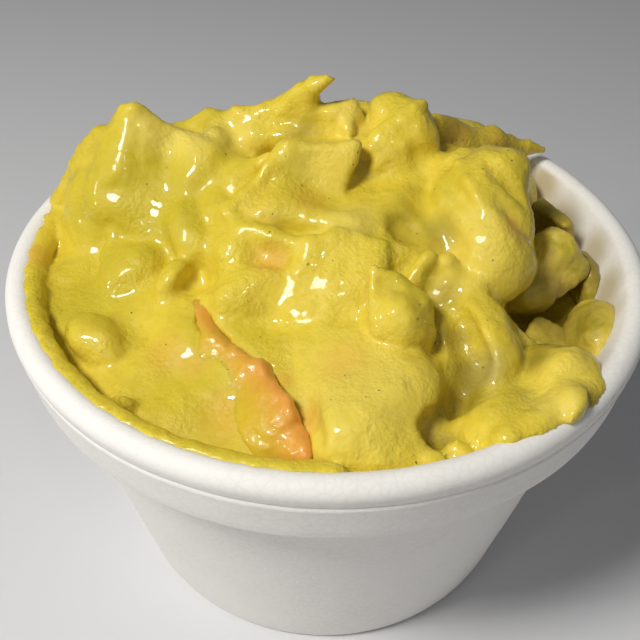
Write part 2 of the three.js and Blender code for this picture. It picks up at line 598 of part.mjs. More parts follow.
// The big blob at the right, in two folds.
function rightBlob(clay) {
  clay.add(lobe([13, 7, 55.0], [9, 9, 5.6]), 4);
  clay.add(lobe([21.2, 3.2, 59.1], [6.0, 6.0, 7.1], [14, 0, 0]), 1.6);
  clay.add(crest([[17.4, 5.6, 58.9, 3.6], [17.4, 1.8, 58.0, 4.4], [18.6, -2.6, 56.9, 5.0]]), 1.6);
  clay.add(lobe([21.4, -5.6, 55.2], [6.6, 7.2, 6.6], [14, 0, 10]), 0.9);
  clay.add(lobe([22.2, -1.0, 58.4], [5.4, 5.0, 6.0], [14, 0, 10]), 1.8);
  clay.add(crest([
    [17.5, 3.0, 64.0, 0.8], [18.7, -0.8, 63.6, 1.1], [20.2, -3.4, 62.3, 1.6],
    [22.0, -5.8, 60.6, 1.9], [23.0, -8.4, 58.9, 2.3],
  ]), 1.5);
  clay.cut(crest([
    [20.4, 1.4, 66.6, 0.9], [22.2, -0.8, 65.4, 1.1], [24.4, -1.6, 63.4, 1.1],
    [26.2, -2.2, 61.8, 0.8],
  ]), 1.5);
}

// The crease between the blob and the plateau, and the hollow at its foot.
function blobCrease(clay) {
  clay.cut(crest([
    [12.4, 5.6, 63.6, 1.2], [12.8, 1, 61.6, 1.5], [13.4, -4, 60.2, 1.6], [15.8, -9.5, 58.3, 1.6],
  ]), 3);
  clay.cut(lobe([11.4, -6.6, 60.0], [3.6, 3.4, 2.6]), 1.6);
}

// The two blocks at the front of the plateau.
function frontBlocks(clay) {
  clay.add(block([-1.8, -12.9, 54.1], [3.9, 5.6, 3.6], [0, 4, 35], 1.4), 2.2);
  clay.add(block([3.8, -12.2, 55.2], [4.2, 5.8, 3.6], [4, -3, 37], 1.3), 2.2);
}

// The pointed lump.
function peak(clay) {
  clay.add(lobe([9.4, -19.8, 54.6], [4.5, 4.6, 4.7]), 1.1);
  clay.add(crest([
    [5.7, -16.5, 60.4, 0.5], [8.6, -17.0, 59.0, 1.1], [12.2, -18.2, 56.4, 1.6],
  ]), 0.8);
  clay.add(crest([[5.8, -16.7, 60.1, 0.5], [6.0, -19.6, 57.8, 1.0], [6.6, -22.6, 55.6, 1.3]]), 0.8);
  clay.add(crest([[7.2, -18.2, 58.0, 1.2], [9.6, -20.6, 56.6, 2.0]]), 1.2);
  clay.cut(crest([
    [7.2, -14.3, 60.6, 1.0], [10.0, -14.4, 59.8, 1.2], [12.8, -15.4, 58.4, 1.3],
    [15.0, -17.4, 56.4, 1.5],
  ]), 1.0);
}

// Small knobs beside the peak.
function knobs(clay) {
  clay.add(crest([[11.8, -12.0, 55.2, 2.4], [12.8, -11.4, 58.0, 1.3]]), 1.6);
  clay.add(crest([[15.4, -12.6, 54.0, 2.4], [15.3, -10.8, 57.4, 1.4]]), 1.4);
}

// The long lobe at the right.
function rightLobe(clay) {
  clay.add(lobe([20.0, -19.0, 48.9], [6.1, 8.2, 6.8], [-10, 0, 0]), 1.2);
  clay.add(crest([
    [16.2, -11.0, 54.6, 2.0], [18.4, -13.4, 53.4, 2.8], [20.2, -17.0, 51.4, 3.6],
  ]), 1.4);
  clay.add(lobe([20.2, -25, 45.6], [6.0, 6.0, 4.6]), 2);
}

// The valleys on both sides of the front lobe.
function lobeValleys(clay) {
  clay.cut(crest([
    [13.4, -13.4, 57.0, 1.0], [15.2, -16.0, 55.4, 1.4], [16.9, -19.0, 54.0, 2.1],
    [17.7, -22.6, 52.4, 2.5], [17.3, -26.6, 51.0, 2.6], [15.6, -30.5, 50.6, 2.3],
  ]), 2.6);
  clay.cut(crest([
    [-7.4, -16.5, 57.8, 1.6], [-6.4, -21, 55.2, 2.0], [-5.0, -26, 53.4, 2.2],
    [-2.8, -32, 52.4, 2.2], [-1.4, -37, 52.0, 2.0],
  ]), 1.6);
}

// The pit between the blob, the right lobe and the wall.
function pit(clay) {
  clay.cut(lobe([33, -9.5, 46.5], [7.5, 8.5, 7.5]), 1.5);
}

// The lobe that lies on the rim, with its drip and its apron.
function rimLobe(clay) {
  clay.add(lobe([23.0, -30.4, 46.6], [8.6, 6, 4.8], [38, 0, 0]), 2.0);
  clay.add(crest([
    [28.8, -21.0, 47.2, 4.8], [30.0, -24.4, 48.0, 5.6], [27.6, -28.2, 46.8, 5.0],
  ]), 1.2);
  clay.add(crest([
    [17.4, -30.0, 45.4, 2.6], [19.8, -34.2, 47.6, 2.2], [21.0, -36.6, 48.8, 1.8],
  ]), 1.6);
  clay.add(lobe([26.6, -31.6, 49.4], [6.0, 3.2, 3.6], [42, 0, 0]), 2);
  clay.add(crest([
    [28.4, -28.6, 51.6, 1.6], [28.8, -31.0, 52.8, 1.5], [29.2, -33.2, 52.4, 1.4],
  ]), 0.8);
  clay.add(crest(ring(-60, -50, 41.9, 50.9, 1.8), false), 2.2);
  clay.add(crest(ring(-47, -40, 42.6, 50.6, 2.0), false), 2.0);
}

// The undercut beside the front lobe, with two nubs.
function nubs(clay) {
  clay.cut(lobe([13.6, -33.5, 50.6], [3.4, 2.6, 3.2], [35, 0, 0]), 1.0);
  clay.cut(lobe([16.4, -28.2, 49.4], [2.0, 2.6, 3.4], [20, 0, 0]), 1.0);
  clay.add(lobe([12.8, -38.0, 48.9], [1.9, 1.4, 1.5]), 0.8);
  clay.add(lobe([15.8, -36.4, 48.4], [1.9, 1.5, 1.5]), 0.8);
  clay.add(lobe([-1.4, -40.2, 50.2], [1.7, 1.0, 1.1]), 0.7);
}

const REGIONS = [
  lowGround, rightHollow, middleMass, leftFace, rimSmear, leftBumps, middleBlock, hollowMound,
  backRidge, dome, tail, backFolds, rightBlob, blobCrease, frontBlocks, peak, knobs, rightLobe,
  lobeValleys, pit, rimLobe, nubs,
];

function sculptHeap() {
  const side = RIM_RADIUS + HEAP_CELL;
  const clay = new Clay([-side, -side, HEAP_BOTTOM], [side, side, HEAP_TOP], HEAP_CELL);
  clay.over((value, x, y, z) => smoothMax(
    z - FILL_LEVEL, Math.hypot(x, y) - innerRadius(z) - WALL_OVERLAP, 1));
  REGIONS.forEach((region) => region(clay));
  clay.over((value, x, y) => Math.max(value, Math.hypot(x, y) - REACH));
  return toSolid(clay.toGeometry());
}

// The sculpted heap on a plain filling down to the cup's floor, clear of the cup and the pieces.
function guacamole([cupClearance, ...clearances]) {
  const filling = toSolid(turned([
    ...floorCorner(GAP).reverse(),
    [innerRadius(LIP_FOOT) - GAP, LIP_FOOT],
    [0, LIP_FOOT],
  ]));
  const heap = sculptHeap().subtract(cupClearance).add(filling);
  return largest(clearances.reduce((left, clearance) => left.subtract(clearance), heap));
}

// ---------------------------------------------------------------- assembly
const part = new THREE.Group();

function addNode(name, geometry, color, roughness) {
  const material = new THREE.MeshStandardMaterial({ color, roughness, metalness: 0 });
  const mesh = new THREE.Mesh(geometry, material);
  mesh.name = name;
  part.add(mesh);
}

addNode('foam_cup', turned(cupOutline()), 0xf2efe9, 0.75);

const clearances = [toSolid(turned(cupOutline(GAP)))];
for (const [name, form] of Object.entries(PIECES)) {
  const solid = clearances.reduce((left, clearance) => left.subtract(clearance), sculptPiece(form));
  addNode(name, toGeometry(largest(solid)), form.color, form.roughness);
  clearances.push(sculptPiece(form, GAP));
}
addNode('guacamole', toGeometry(guacamole(clearances)), 0xd3bb45, 0.35);

export default part;
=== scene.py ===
"""Guacamole heaped in a squat foam cup, with a strip of tomato and avocado chunks.

Sizes of the sculpted food are in millimetres, as a sculptor would note them; objects are in metres.
"""
import math
from collections import namedtuple

import bpy
import numpy as np
from bpy.props import FloatProperty, FloatVectorProperty, IntProperty, PointerProperty
from mathutils import Euler, Matrix, Vector, noise


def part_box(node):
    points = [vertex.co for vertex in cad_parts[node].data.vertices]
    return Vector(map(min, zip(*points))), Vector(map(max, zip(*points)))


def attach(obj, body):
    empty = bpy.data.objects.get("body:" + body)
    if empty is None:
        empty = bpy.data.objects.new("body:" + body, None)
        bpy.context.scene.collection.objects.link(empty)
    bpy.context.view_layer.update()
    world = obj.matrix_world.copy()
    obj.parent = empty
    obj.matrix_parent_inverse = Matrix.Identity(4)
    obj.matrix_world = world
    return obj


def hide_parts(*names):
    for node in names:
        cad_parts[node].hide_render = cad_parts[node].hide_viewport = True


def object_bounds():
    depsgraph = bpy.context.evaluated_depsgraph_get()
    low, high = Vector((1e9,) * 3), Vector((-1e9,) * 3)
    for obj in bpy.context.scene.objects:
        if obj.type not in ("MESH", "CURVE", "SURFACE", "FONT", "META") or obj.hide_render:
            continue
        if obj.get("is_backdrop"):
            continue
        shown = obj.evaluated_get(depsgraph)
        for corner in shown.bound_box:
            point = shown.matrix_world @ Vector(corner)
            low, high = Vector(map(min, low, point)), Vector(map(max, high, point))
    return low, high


bl_info = {
    "name": "Guacamole Cup",
    "version": (1, 0, 0),
    "blender": (4, 5, 0),
    "location": "View3D > Sidebar > Guacamole",
    "description": "Makes a foam cup heaped with guacamole, tomato and avocado chunks",
    "category": "Add Mesh",
}

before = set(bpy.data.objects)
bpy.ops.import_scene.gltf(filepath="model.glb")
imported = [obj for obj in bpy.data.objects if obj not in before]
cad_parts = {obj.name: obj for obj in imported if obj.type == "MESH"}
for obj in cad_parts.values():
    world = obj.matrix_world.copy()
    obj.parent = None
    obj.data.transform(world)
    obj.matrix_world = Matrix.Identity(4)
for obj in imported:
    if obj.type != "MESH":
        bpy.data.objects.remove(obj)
CAD_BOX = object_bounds()

MM = 0.001

# ---------------------------------------------------------------- the cup's sizes, in millimetres
CUP_HEIGHT = (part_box("foam_cup")[1] / MM).z
RIM_RADIUS = 45.0
RIM_BEAD_RADIUS = 1.8
LIP_HEIGHT = 8.5
LIP_FOOT_RADIUS = 43.6
LIP_STEP = 3.4
LIP_ROUND = 0.4
FOOT_RADIUS = 30.8
FOOT_ROUND = 1.0
FOOT_RING_WIDTH = 3.6
FOOT_RECESS = 0.8
RECESS_SLOPE = 1.0
FLOOR_THICKNESS = 2.6
FLOOR_ROUND = 4.0
WALL = 2.3
MOUTH_RADIUS = 41.5
MOUTH_HEIGHT = 51.0
BODY_RADIUS = LIP_FOOT_RADIUS - LIP_STEP
BEAD_HEIGHT = CUP_HEIGHT - RIM_BEAD_RADIUS
LIP_FOOT = BEAD_HEIGHT - LIP_HEIGHT
SEAM_DROP = 1.7                     # from the middle of the rolled rim down to the mould line
FLOOR_CORNER = FLOOR_THICKNESS + FLOOR_ROUND

# ---------------------------------------------------------------- the heap's sizes, in millimetres
HEAP_BOTTOM = 40.0                  # lowest level of the grid; plain filling lies below it
HEAP_TOP = 74.5
FILL_LEVEL = 47.5
FILL_BLEND = 1.0
FILLING_HEIGHTS = (34.0, 20.0)      # where the plain filling follows the wall
WALL_OVERLAP = 0.8                  # the filling runs this far into the wall before it is cut
REACH = 44.7                        # the heap stays inside this radius
SINK = 0.35                         # food presses this far into the foam
SINK_BLEND = 0.3
HOLD = 0.25                         # gap round the pieces that the heap holds
HOLD_BLEND = 0.5
# The guacamole closes over the low side of the tomato strip, inside a wide circle round this place.
FILM_CENTRE = (-58.3, -58.5, 50.0)
FILM_RADIUS = 57.8
FILM_LAP = 0.4
FILM_RUN = 0.3                      # the film's colour runs this much further
FILM_FADE = 2.6
CRISP = 0.5                         # creases are this share as soft as the forms' own blends
CREST_BLEND = 0.6
RING_STEP = 6                       # degrees between the points of a ring
MARGIN = 8.4                        # a form is worked out this far round itself
FAR = 20.0                          # distance that empty clay starts from


def colour(code):
    """The linear colour of a 0xRRGGBB paint code."""
    parts = [((code >> shift) & 255) / 255 for shift in (16, 8, 0)]
    return tuple(p / 12.92 if p <= 0.04045 else ((p + 0.055) / 1.055) ** 2.4 for p in parts)


# ---------------------------------------------------------------- settings
def length(name, description, default_mm, low_mm=0.01):
    """A setting for a size, given in millimetres."""
    return FloatProperty(name=name, description=description, default=default_mm * MM,
                         min=low_mm * MM, unit="LENGTH", subtype="DISTANCE", precision=5)


def paint(name, description, code):
    """A setting for a colour, given as a hexadecimal code."""
    return FloatVectorProperty(name=name, description=description, default=colour(code),
                               subtype="COLOR", size=3, min=0.0, max=1.0)


class CupSettings(bpy.types.PropertyGroup):
    """Sizes and colours of the foam cup."""
    rim_radius: length("Rim Radius", "Outside radius of the rolled rim", RIM_RADIUS)
    seam_depth: length("Mould Line", "Depth of the fine line under the rim", 0.22)
    bead_size: length("Bead Size", "Width of one pressed foam bead", 1.3)
    segments: IntProperty(name="Segments", description="Faces round the cup", default=192,
                          min=24, max=512)
    foam: paint("Foam", "Colour of the foam", 0xF5F2EC)
    foam_shade: paint("Foam Shade", "Colour between the beads", 0xE4E0DA)
    # The smear colour is also painted shadow cast on the wall by the blob and the side chunk.
    smear_and_shadow: paint("Smear", "Colour of the guacamole wiped thinly over the wall", 0xB09A58)


class HeapSettings(bpy.types.PropertyGroup):
    """Sizes and colours of the guacamole."""
    cell: length("Cell", "Spacing of the grid that the heap is sculpted on", 0.56, 0.3)
    lump: length("Lump Height", "Height of the small lumps of mashed avocado", 0.20)
    grit: length("Grit Height", "Height of the finest lumps", 0.10)
    flesh: paint("Flesh", "Main colour of the mashed avocado", 0xE3CA3C)
    green: paint("Green", "Colour of the greener streaks", 0xC8B52A)
    # Cream is the flesh's paler tone in the streaks, and painted sheen and highlights where it is patched
    # onto lit crests.
    cream_and_sheen: paint("Cream", "Colour of the paler, creamy parts", 0xEDD662)
    orange: paint("Tomato Stain", "Colour where tomato juice shows through", 0xE2A844)
    grey: paint("Grey Spot", "Colour of the dull spot of bruised flesh", 0xA79C58)
    # Deep Olive is painted shade for the creases, the valleys and the pit.
    deep_tone_and_shade: paint("Deep Olive", "Colour of the darker flesh down in the creases", 0x84731A)
    # Painted shade, in brown, for the tail where the dome shades it.
    brown_shade: paint("Brown Shade", "Colour of the flesh that the air has browned", 0xA07A2E)


class TomatoSettings(bpy.types.PropertyGroup):
    """Sizes and colours of the tomato strip."""
    cell: length("Cell", "Spacing of the grid that the strip is sculpted on", 0.32, 0.2)
    flesh: paint("Flesh", "Colour of the wet tomato", 0xE6A346)
    deep_tone_and_shade: paint("Deep Flesh", "Colour of the tomato's redder parts", 0xE08B3E)
    film: paint("Film", "Colour of the guacamole wiped over it", 0xD8B832)


class AvocadoSettings(bpy.types.PropertyGroup):
    """Sizes and colours of the avocado chunks."""
    cell: length("Cell", "Spacing of the grid that a chunk is sculpted on", 0.32, 0.2)
    flesh: paint("Flesh", "Colour of a chunk's cut faces", 0xE8CE54)
    green: paint("Green", "Colour of a chunk's greener side", 0xBEAE30)
    # Painted shade: the chunks' lower sides and the pit under them.
    deep_tone_and_shade: paint("Deep Olive", "Colour of a chunk's darker, lower side", 0x7A6A14)


class FleckSettings(bpy.types.PropertyGroup):
    """Sizes and colours of the herb flecks."""
    size: length("Fleck Size", "Length of a common fleck", 0.34)
    density: FloatProperty(name="Density", description="Flecks per square metre of surface",
                           default=16000.0, min=0.0)
    seed: IntProperty(name="Seed", description="Which of the random layouts is used", default=7)
    leaf: paint("Leaf", "Colour of the chopped herb", 0x5E6420)
    stalk: paint("Stalk", "Colour of the herb's paler parts", 0x8A8A30)


class StageSettings(bpy.types.PropertyGroup):
    """The floor, the lights and the camera."""
    floor: paint("Floor", "Colour of the floor", 0xDCDCDE)
    key: FloatProperty(name="Key Light", description="Power of the main light, in watts",
                       default=1.33, min=0.0)
    rake: FloatProperty(name="Raking Light", description="Power of the small lamps, in watts",
                        default=0.22, min=0.0)
    fill: FloatProperty(name="Fill Light", description="Power of the wide light in front, in watts",
                        default=0.12, min=0.0)
    sky: FloatProperty(name="Room Light", description="Strength of the light from all round",
                       default=0.11, min=0.0)


# ---------------------------------------------------------------- material trees
# The sockets of a Mix node that are in use when it mixes colours.
MIX_SHARE, MIX_FIRST, MIX_SECOND = 0, 6, 7
MIX_COLOUR = 2


class Value:
    """A number in a material's tree, which takes part in ordinary arithmetic."""

    def __init__(self, finish, socket):
        self.finish, self.socket = finish, socket

    def math(self, operation, *terms, clamp=False):
        """The result of a sum with values and numbers."""
        return self.finish.add("ShaderNodeMath", {"operation": operation, "use_clamp": clamp},
                               dict(enumerate(terms)))

    def __add__(self, other):
        return self.math("ADD", self, other)

    def __radd__(self, other):
        return self.math("ADD", other, self)

    def __sub__(self, other):
        return self.math("SUBTRACT", self, other)

    def __rsub__(self, other):
        return self.math("SUBTRACT", other, self)

    def __mul__(self, other):
        return self.math("MULTIPLY", self, other)

    def __rmul__(self, other):
        return self.math("MULTIPLY", other, self)

    def clamped(self):
        """The same, held between nought and one."""
        return self.math("ADD", self, 0.0, clamp=True)

    def ramp(self, low, high):
        """Nought below `low`, one above `high`, and soft between them."""
        return self.finish.add("ShaderNodeMapRange", {"interpolation_type": "SMOOTHSTEP"},
                               {"Value": self, "From Min": low, "From Max": high})


class Finish:
    """A material and its node tree, to which every node is added by one method."""

    def __init__(self, name):
        self.material = bpy.data.materials.new(name)
        self.material.use_nodes = True
        self.tree = self.material.node_tree
        self.shader = self.tree.nodes["Principled BSDF"]
        self.place = self.add("ShaderNodeTexCoord", output="Object")

    def add(self, kind, settings=None, sockets=None, output=0):
        """Adds a node: its settings first, then the values or links of its sockets."""
        node = self.tree.nodes.new(kind)
        for name, value in (settings or {}).items():
            setattr(node, name, value)
        for name, value in (sockets or {}).items():
            self.put(node.inputs[name], value)
        return Value(self, node.outputs[output])

    def put(self, socket, value):
        """Links a value to a socket, or sets the socket to a plain number or colour."""
        if isinstance(value, Value):
            self.tree.links.new(value.socket, socket)
        elif socket.type == "RGBA" and len(value) == 3:
            socket.default_value = (*value, 1.0)
        else:
            socket.default_value = value

    def set(self, **sockets):
        """Sets the shader's own sockets; an underscore stands for a space."""
        for name, value in sockets.items():
            self.put(self.shader.inputs[name.replace("_", " ")], value)

    def mix(self, first, second, share):
        """One colour laid over another by a share between nought and one."""
        sockets = {MIX_SHARE: share, MIX_FIRST: first, MIX_SECOND: second}
        return self.add("ShaderNodeMix", {"data_type": "RGBA"}, sockets, output=MIX_COLOUR)

    def noise(self, size_mm, detail=2.0, rough=0.5):
        """Soft noise between nought and one, with patches of about the given size."""
        return self.add("ShaderNodeTexNoise", None, {
            "Vector": self.place, "Scale": 1 / (size_mm * MM), "Detail": detail, "Roughness": rough})

    def cells(self, size_mm, feature="F1"):
        """Distance to the nearest of many scattered points, as a share of their spacing."""
        return self.add("ShaderNodeTexVoronoi", {"feature": feature}, {
            "Vector": self.place, "Scale": 1 / (size_mm * MM)})

    def near(self, centre_mm, radius_mm, soft_mm):
        """One inside a ball, nought outside it."""
        distance = self.add("ShaderNodeVectorMath", {"operation": "DISTANCE"}, {
            0: self.place, 1: [c * MM for c in centre_mm]}, output="Value")
        return 1 - distance.ramp((radius_mm - soft_mm) * MM, (radius_mm + soft_mm) * MM)

    def height(self, *layers):
        """Bumps from (height, strength, distance in mm) layers, the broadest first."""
        normal = None
        for height, strength, distance in layers:
            sockets = {"Height": height, "Strength": strength, "Distance": distance * MM}
            if normal:
                sockets["Normal"] = normal
            normal = self.add("ShaderNodeBump", None, sockets)
        return normal


# ---------------------------------------------------------------- distance forms
Form = namedtuple("Form", "centre reach distance folded")


def fold(x, y, z):
    """A soft fold of space, of a broad and a fine wave, which makes every lobe a little uneven."""
    sin = np.sin
    return (
        x + 0.85 * sin(0.31 * y + 0.23 * z + 0.5) + 0.30 * sin(0.62 * z - 0.47 * y + 0.36 * x + 2.0),
        y + 0.85 * sin(0.27 * x - 0.25 * z + 1.7) + 0.30 * sin(0.58 * x + 0.41 * z - 0.33 * y + 0.3),
        z + 0.50 * sin(0.30 * x + 0.24 * y + 0.9) + 0.22 * sin(0.55 * y - 0.52 * x + 0.3 * z + 4.0),
    )


def smooth_min(a, b, blend):
    """The smaller of two distances, rounded where they meet."""
    h = np.maximum(blend - np.abs(a - b), 0) / blend
    return np.minimum(a, b) - h * h * blend * 0.25


def smooth_max(a, b, blend):
    """The larger of two distances, rounded where they meet."""
    return -smooth_min(-a, -b, blend)


def turned(offset, turn):
    """An offset seen in a frame turned by yaw, pitch and roll, in degrees."""
    yaw, pitch, roll = (math.radians(a) for a in turn)
    columns = Euler((roll, pitch, yaw)).to_matrix().transposed()
    return [sum(float(row[i]) * offset[i] for i in range(3)) for row in columns]


def lobe(centre, radii, turn=(0, 0, 0)):
    """An ellipsoid."""
    middle = fold(*centre)

    def distance(*place):
        local = turned([p - m for p, m in zip(place, middle)], turn)
        k0 = np.sqrt(sum((v / r) ** 2 for v, r in zip(local, radii)))
        k1 = np.sqrt(sum((v / (r * r)) ** 2 for v, r in zip(local, radii)))
        return k0 * (k0 - 1) / np.maximum(k1, 1e-6)

    return Form(centre, [max(radii)] * 3, distance, True)


def block(centre, half, turn=(0, 0, 0), edge=1.0):
    """A box with rounded edges, given by its half sizes."""
    middle = fold(*centre)

    def distance(*place):
        local = turned([p - m for p, m in zip(place, middle)], turn)
        q = [np.abs(v) - (h - edge) for v, h in zip(local, half)]
        outside = np.sqrt(sum(np.maximum(v, 0) ** 2 for v in q))
        return outside + np.minimum(np.maximum(np.maximum(q[0], q[1]), q[2]), 0) - edge

    return Form(centre, [math.hypot(*half)] * 3, distance, True)


def crest(points, folded=True):
    """A rounded crest through points, each with its own radius: (x, y, z, radius)."""
    path = [(*fold(*p[:3]), p[3]) if folded else p for p in points]
    low = [min(p[i] - p[3] for p in points) for i in range(3)]
    high = [max(p[i] + p[3] for p in points) for i in range(3)]

    def distance(*place):
        best = None
        for a, b in zip(path, path[1:]):
            along = [b[i] - a[i] for i in range(3)]
            offset = [place[i] - a[i] for i in range(3)]
            t = np.clip(sum(u * v for u, v in zip(along, offset)) / sum(u * u for u in along), 0, 1)
            d = np.sqrt(sum((v - t * u) ** 2 for u, v in zip(along, offset))) - (a[3] + t * (b[3] - a[3]))
            best = d if best is None else smooth_min(best, d, CREST_BLEND)
        return best

    return Form([(u + v) / 2 for u, v in zip(low, high)], [(v - u) / 2 for u, v in zip(low, high)],
                distance, folded)


def ring(start, end, radius, z, thickness):
    """Points on a level circle round the cup's axis, for a crest."""
    count = max(2, round(abs(end - start) / RING_STEP))
    angles = [math.radians(start + (end - start) * i / count) for i in range(count + 1)]
    return [(radius * math.cos(a), radius * math.sin(a), z, thickness) for a in angles]


class Clay:
    """Distances on a grid, from which a skin of four-sided faces is drawn."""

    def __init__(self, low, high, cell):
        self.low, self.cell = np.array(low, float), cell
        self.count = np.ceil((np.array(high) - self.low) / cell).astype(int) + 1
        self.values = np.full(self.count, FAR, np.float32)
        axes = [(self.low[a] + cell * np.arange(self.count[a])).astype(np.float32) for a in range(3)]
        self.plain = np.meshgrid(*axes, indexing="ij")
        self.folded = fold(*self.plain)

    def blend(self, form, mix):
        """Mixes a form in, on the part of the grid that it can reach."""
        low = np.array(form.centre) - form.reach - MARGIN - self.low
        high = np.array(form.centre) + form.reach + MARGIN - self.low
        part = tuple(slice(max(0, int(a // self.cell)), max(0, int(-(-b // self.cell)) + 1))
                     for a, b in zip(low, high))
        if self.values[part].size:
            space = self.folded if form.folded else self.plain
            self.values[part] = mix(self.values[part], form.distance(*(axis[part] for axis in space)))

    def add(self, form, softness):
        """Joins a form to the clay."""
        self.blend(form, lambda old, new: smooth_min(old, new, softness * CRISP))

    def cut(self, form, softness):
        """Takes a form out of the clay."""
        self.blend(form, lambda old, new: smooth_max(old, -new, softness * CRISP))

    def skin(self):
        """Points and faces where the distance is nought, in millimetres."""
        v = self.values
        inside = v < 0
        cells = self.count - 1
        place = np.zeros((*cells, 3), np.float32)
        hits = np.zeros(cells, np.float32)
        for axis in range(3):
            near, far = (tuple(s if a == axis else slice(None) for a in range(3))
                         for s in (slice(None, -1), slice(1, None)))
            crossed = inside[near] != inside[far]
            t = np.where(crossed, v[near] / np.where(crossed, v[near] - v[far], 1), 0)
            others = [a for a in range(3) if a != axis]
            for corner in ((0, 0), (0, 1), (1, 0), (1, 1)):
                part = [slice(None)] * 3
                for a, c in zip(others, corner):
                    part[a] = slice(c, c + cells[a])
                hit = crossed[tuple(part)]
                hits += hit
                place[..., axis] += t[tuple(part)]
                for a, c in zip(others, corner):
                    place[..., a] += c * hit
        used = hits > 0
        number = np.full(cells, -1)
        number[used] = np.arange(used.sum())
        points = self.low + self.cell * (np.argwhere(used) + place[used] / hits[used][:, None])
        faces = []
        for axis in range(3):
            u, w = (axis + 1) % 3, (axis + 2) % 3
            part = [slice(1, -1)] * 3
            part[axis] = slice(None, -1)
            ahead = list(part)
            ahead[axis] = slice(1, None)
            start = inside[tuple(part)]
            where = np.argwhere(start != inside[tuple(ahead)])
            solid = start[tuple(where.T)]
            base = where + [0 if a == axis else 1 for a in range(3)]
            step_u, step_w = np.eye(3, dtype=int)[u], np.eye(3, dtype=int)[w]
            quads = np.stack([number[tuple((base - shift).T)]
                              for shift in (step_u + step_w, step_w, 0 * step_u, step_u)], axis=1)
            quads[~solid] = quads[~solid][:, ::-1]
            faces.append(quads)
        return points, np.concatenate(faces)


def edges_of(faces):
    """The sides of faces of four points, each in its face's own direction."""
    return np.concatenate([faces[:, [i, (i + 1) % 4]] for i in range(4)])


def relaxed(points, faces, passes=2, share=0.4):
    """Evens out the small steps that the grid leaves."""
    edges = np.unique(np.sort(edges_of(faces), axis=1), axis=0)
    degree = np.bincount(edges.ravel(), minlength=len(points))[:, None]
    for _ in range(passes):
        total = np.zeros_like(points)
        for a, b in ((0, 1), (1, 0)):
            for axis in range(3):
                total[:, axis] += np.bincount(edges[:, a], points[edges[:, b], axis], len(points))
        points = points + share * (total / np.maximum(degree, 1) - points)
    return points


# ---------------------------------------------------------------- meshes
def linked(name, data):
    """An object with the given data, linked to the scene."""
    thing = bpy.data.objects.new(name, data)
    bpy.context.scene.collection.objects.link(thing)
    return thing


def mesh_object(name, points_mm, faces, finish):
    """A smooth-shaded object from points in millimetres and faces of three or four points."""
    mesh = bpy.data.meshes.new(name)
    mesh.from_pydata((np.asarray(points_mm) * MM).tolist(), [], [list(f) for f in faces])
    mesh.validate()
    mesh.shade_smooth()
    mesh.materials.append(finish.material)
    return linked(name, mesh)


def normals_of(piece):
    """The direction of each point's normal."""
    values = np.zeros(len(piece.data.vertices) * 3, np.float32)
    piece.data.vertex_normals.foreach_get("vector", values)
    return values.reshape(-1, 3)


def places_of(piece):
    """The place of each point, in millimetres."""
    values = np.zeros(len(piece.data.vertices) * 3, np.float32)
    piece.data.vertices.foreach_get("co", values)
    return values.reshape(-1, 3) / MM


def lumps(places, size, seed=0.0, octaves=1):
    """Smooth noise, mostly between -1 and 1, at places in millimetres."""
    shift = Vector((seed, 2.3 * seed, -1.7 * seed))
    spots = [Vector(p) / size + shift for p in places.tolist()]
    if octaves == 1:
        return np.array([noise.noise(spot) for spot in spots])
    return np.array([noise.fractal(spot, 1.0, 2.0, octaves) for spot in spots])


def swell(piece, amounts_mm):
    """Moves each point along its normal by its own amount."""
    moved = (places_of(piece) + normals_of(piece) * np.asarray(amounts_mm)[:, None]) * MM
    piece.data.vertices.foreach_set("co", moved.astype(np.float32).ravel())
    piece.data.update()


def settings():
    """The scene's settings for the cup of guacamole."""
    return bpy.context.scene.guacamole_cup


# ---------------------------------------------------------------- the cup
def inner_radius(z):
    """Inside of the cup: parallel to the body, then flared to the mouth behind the band."""
    flare = (MOUTH_RADIUS - BODY_RADIUS + WALL) / (MOUTH_HEIGHT - LIP_FOOT)
    body = FOOT_RADIUS + (BODY_RADIUS - FOOT_RADIUS) * z / LIP_FOOT - WALL
    return np.where(z < LIP_FOOT, body, BODY_RADIUS - WALL + flare * (z - LIP_FOOT))


def arc(r, z, radius, start, end, count):
    """Points (radius, height) on a round from one angle to another, in degrees."""
    angles = [math.radians(start + (end - start) * i / count) for i in range(count + 1)]
    return [(r + radius * math.cos(a), z + radius * math.sin(a)) for a in angles]


def inside_of_cup(heights):
    """Points (radius, height) on the inside wall at the given heights."""
    return [(float(inner_radius(z)), z) for z in heights]


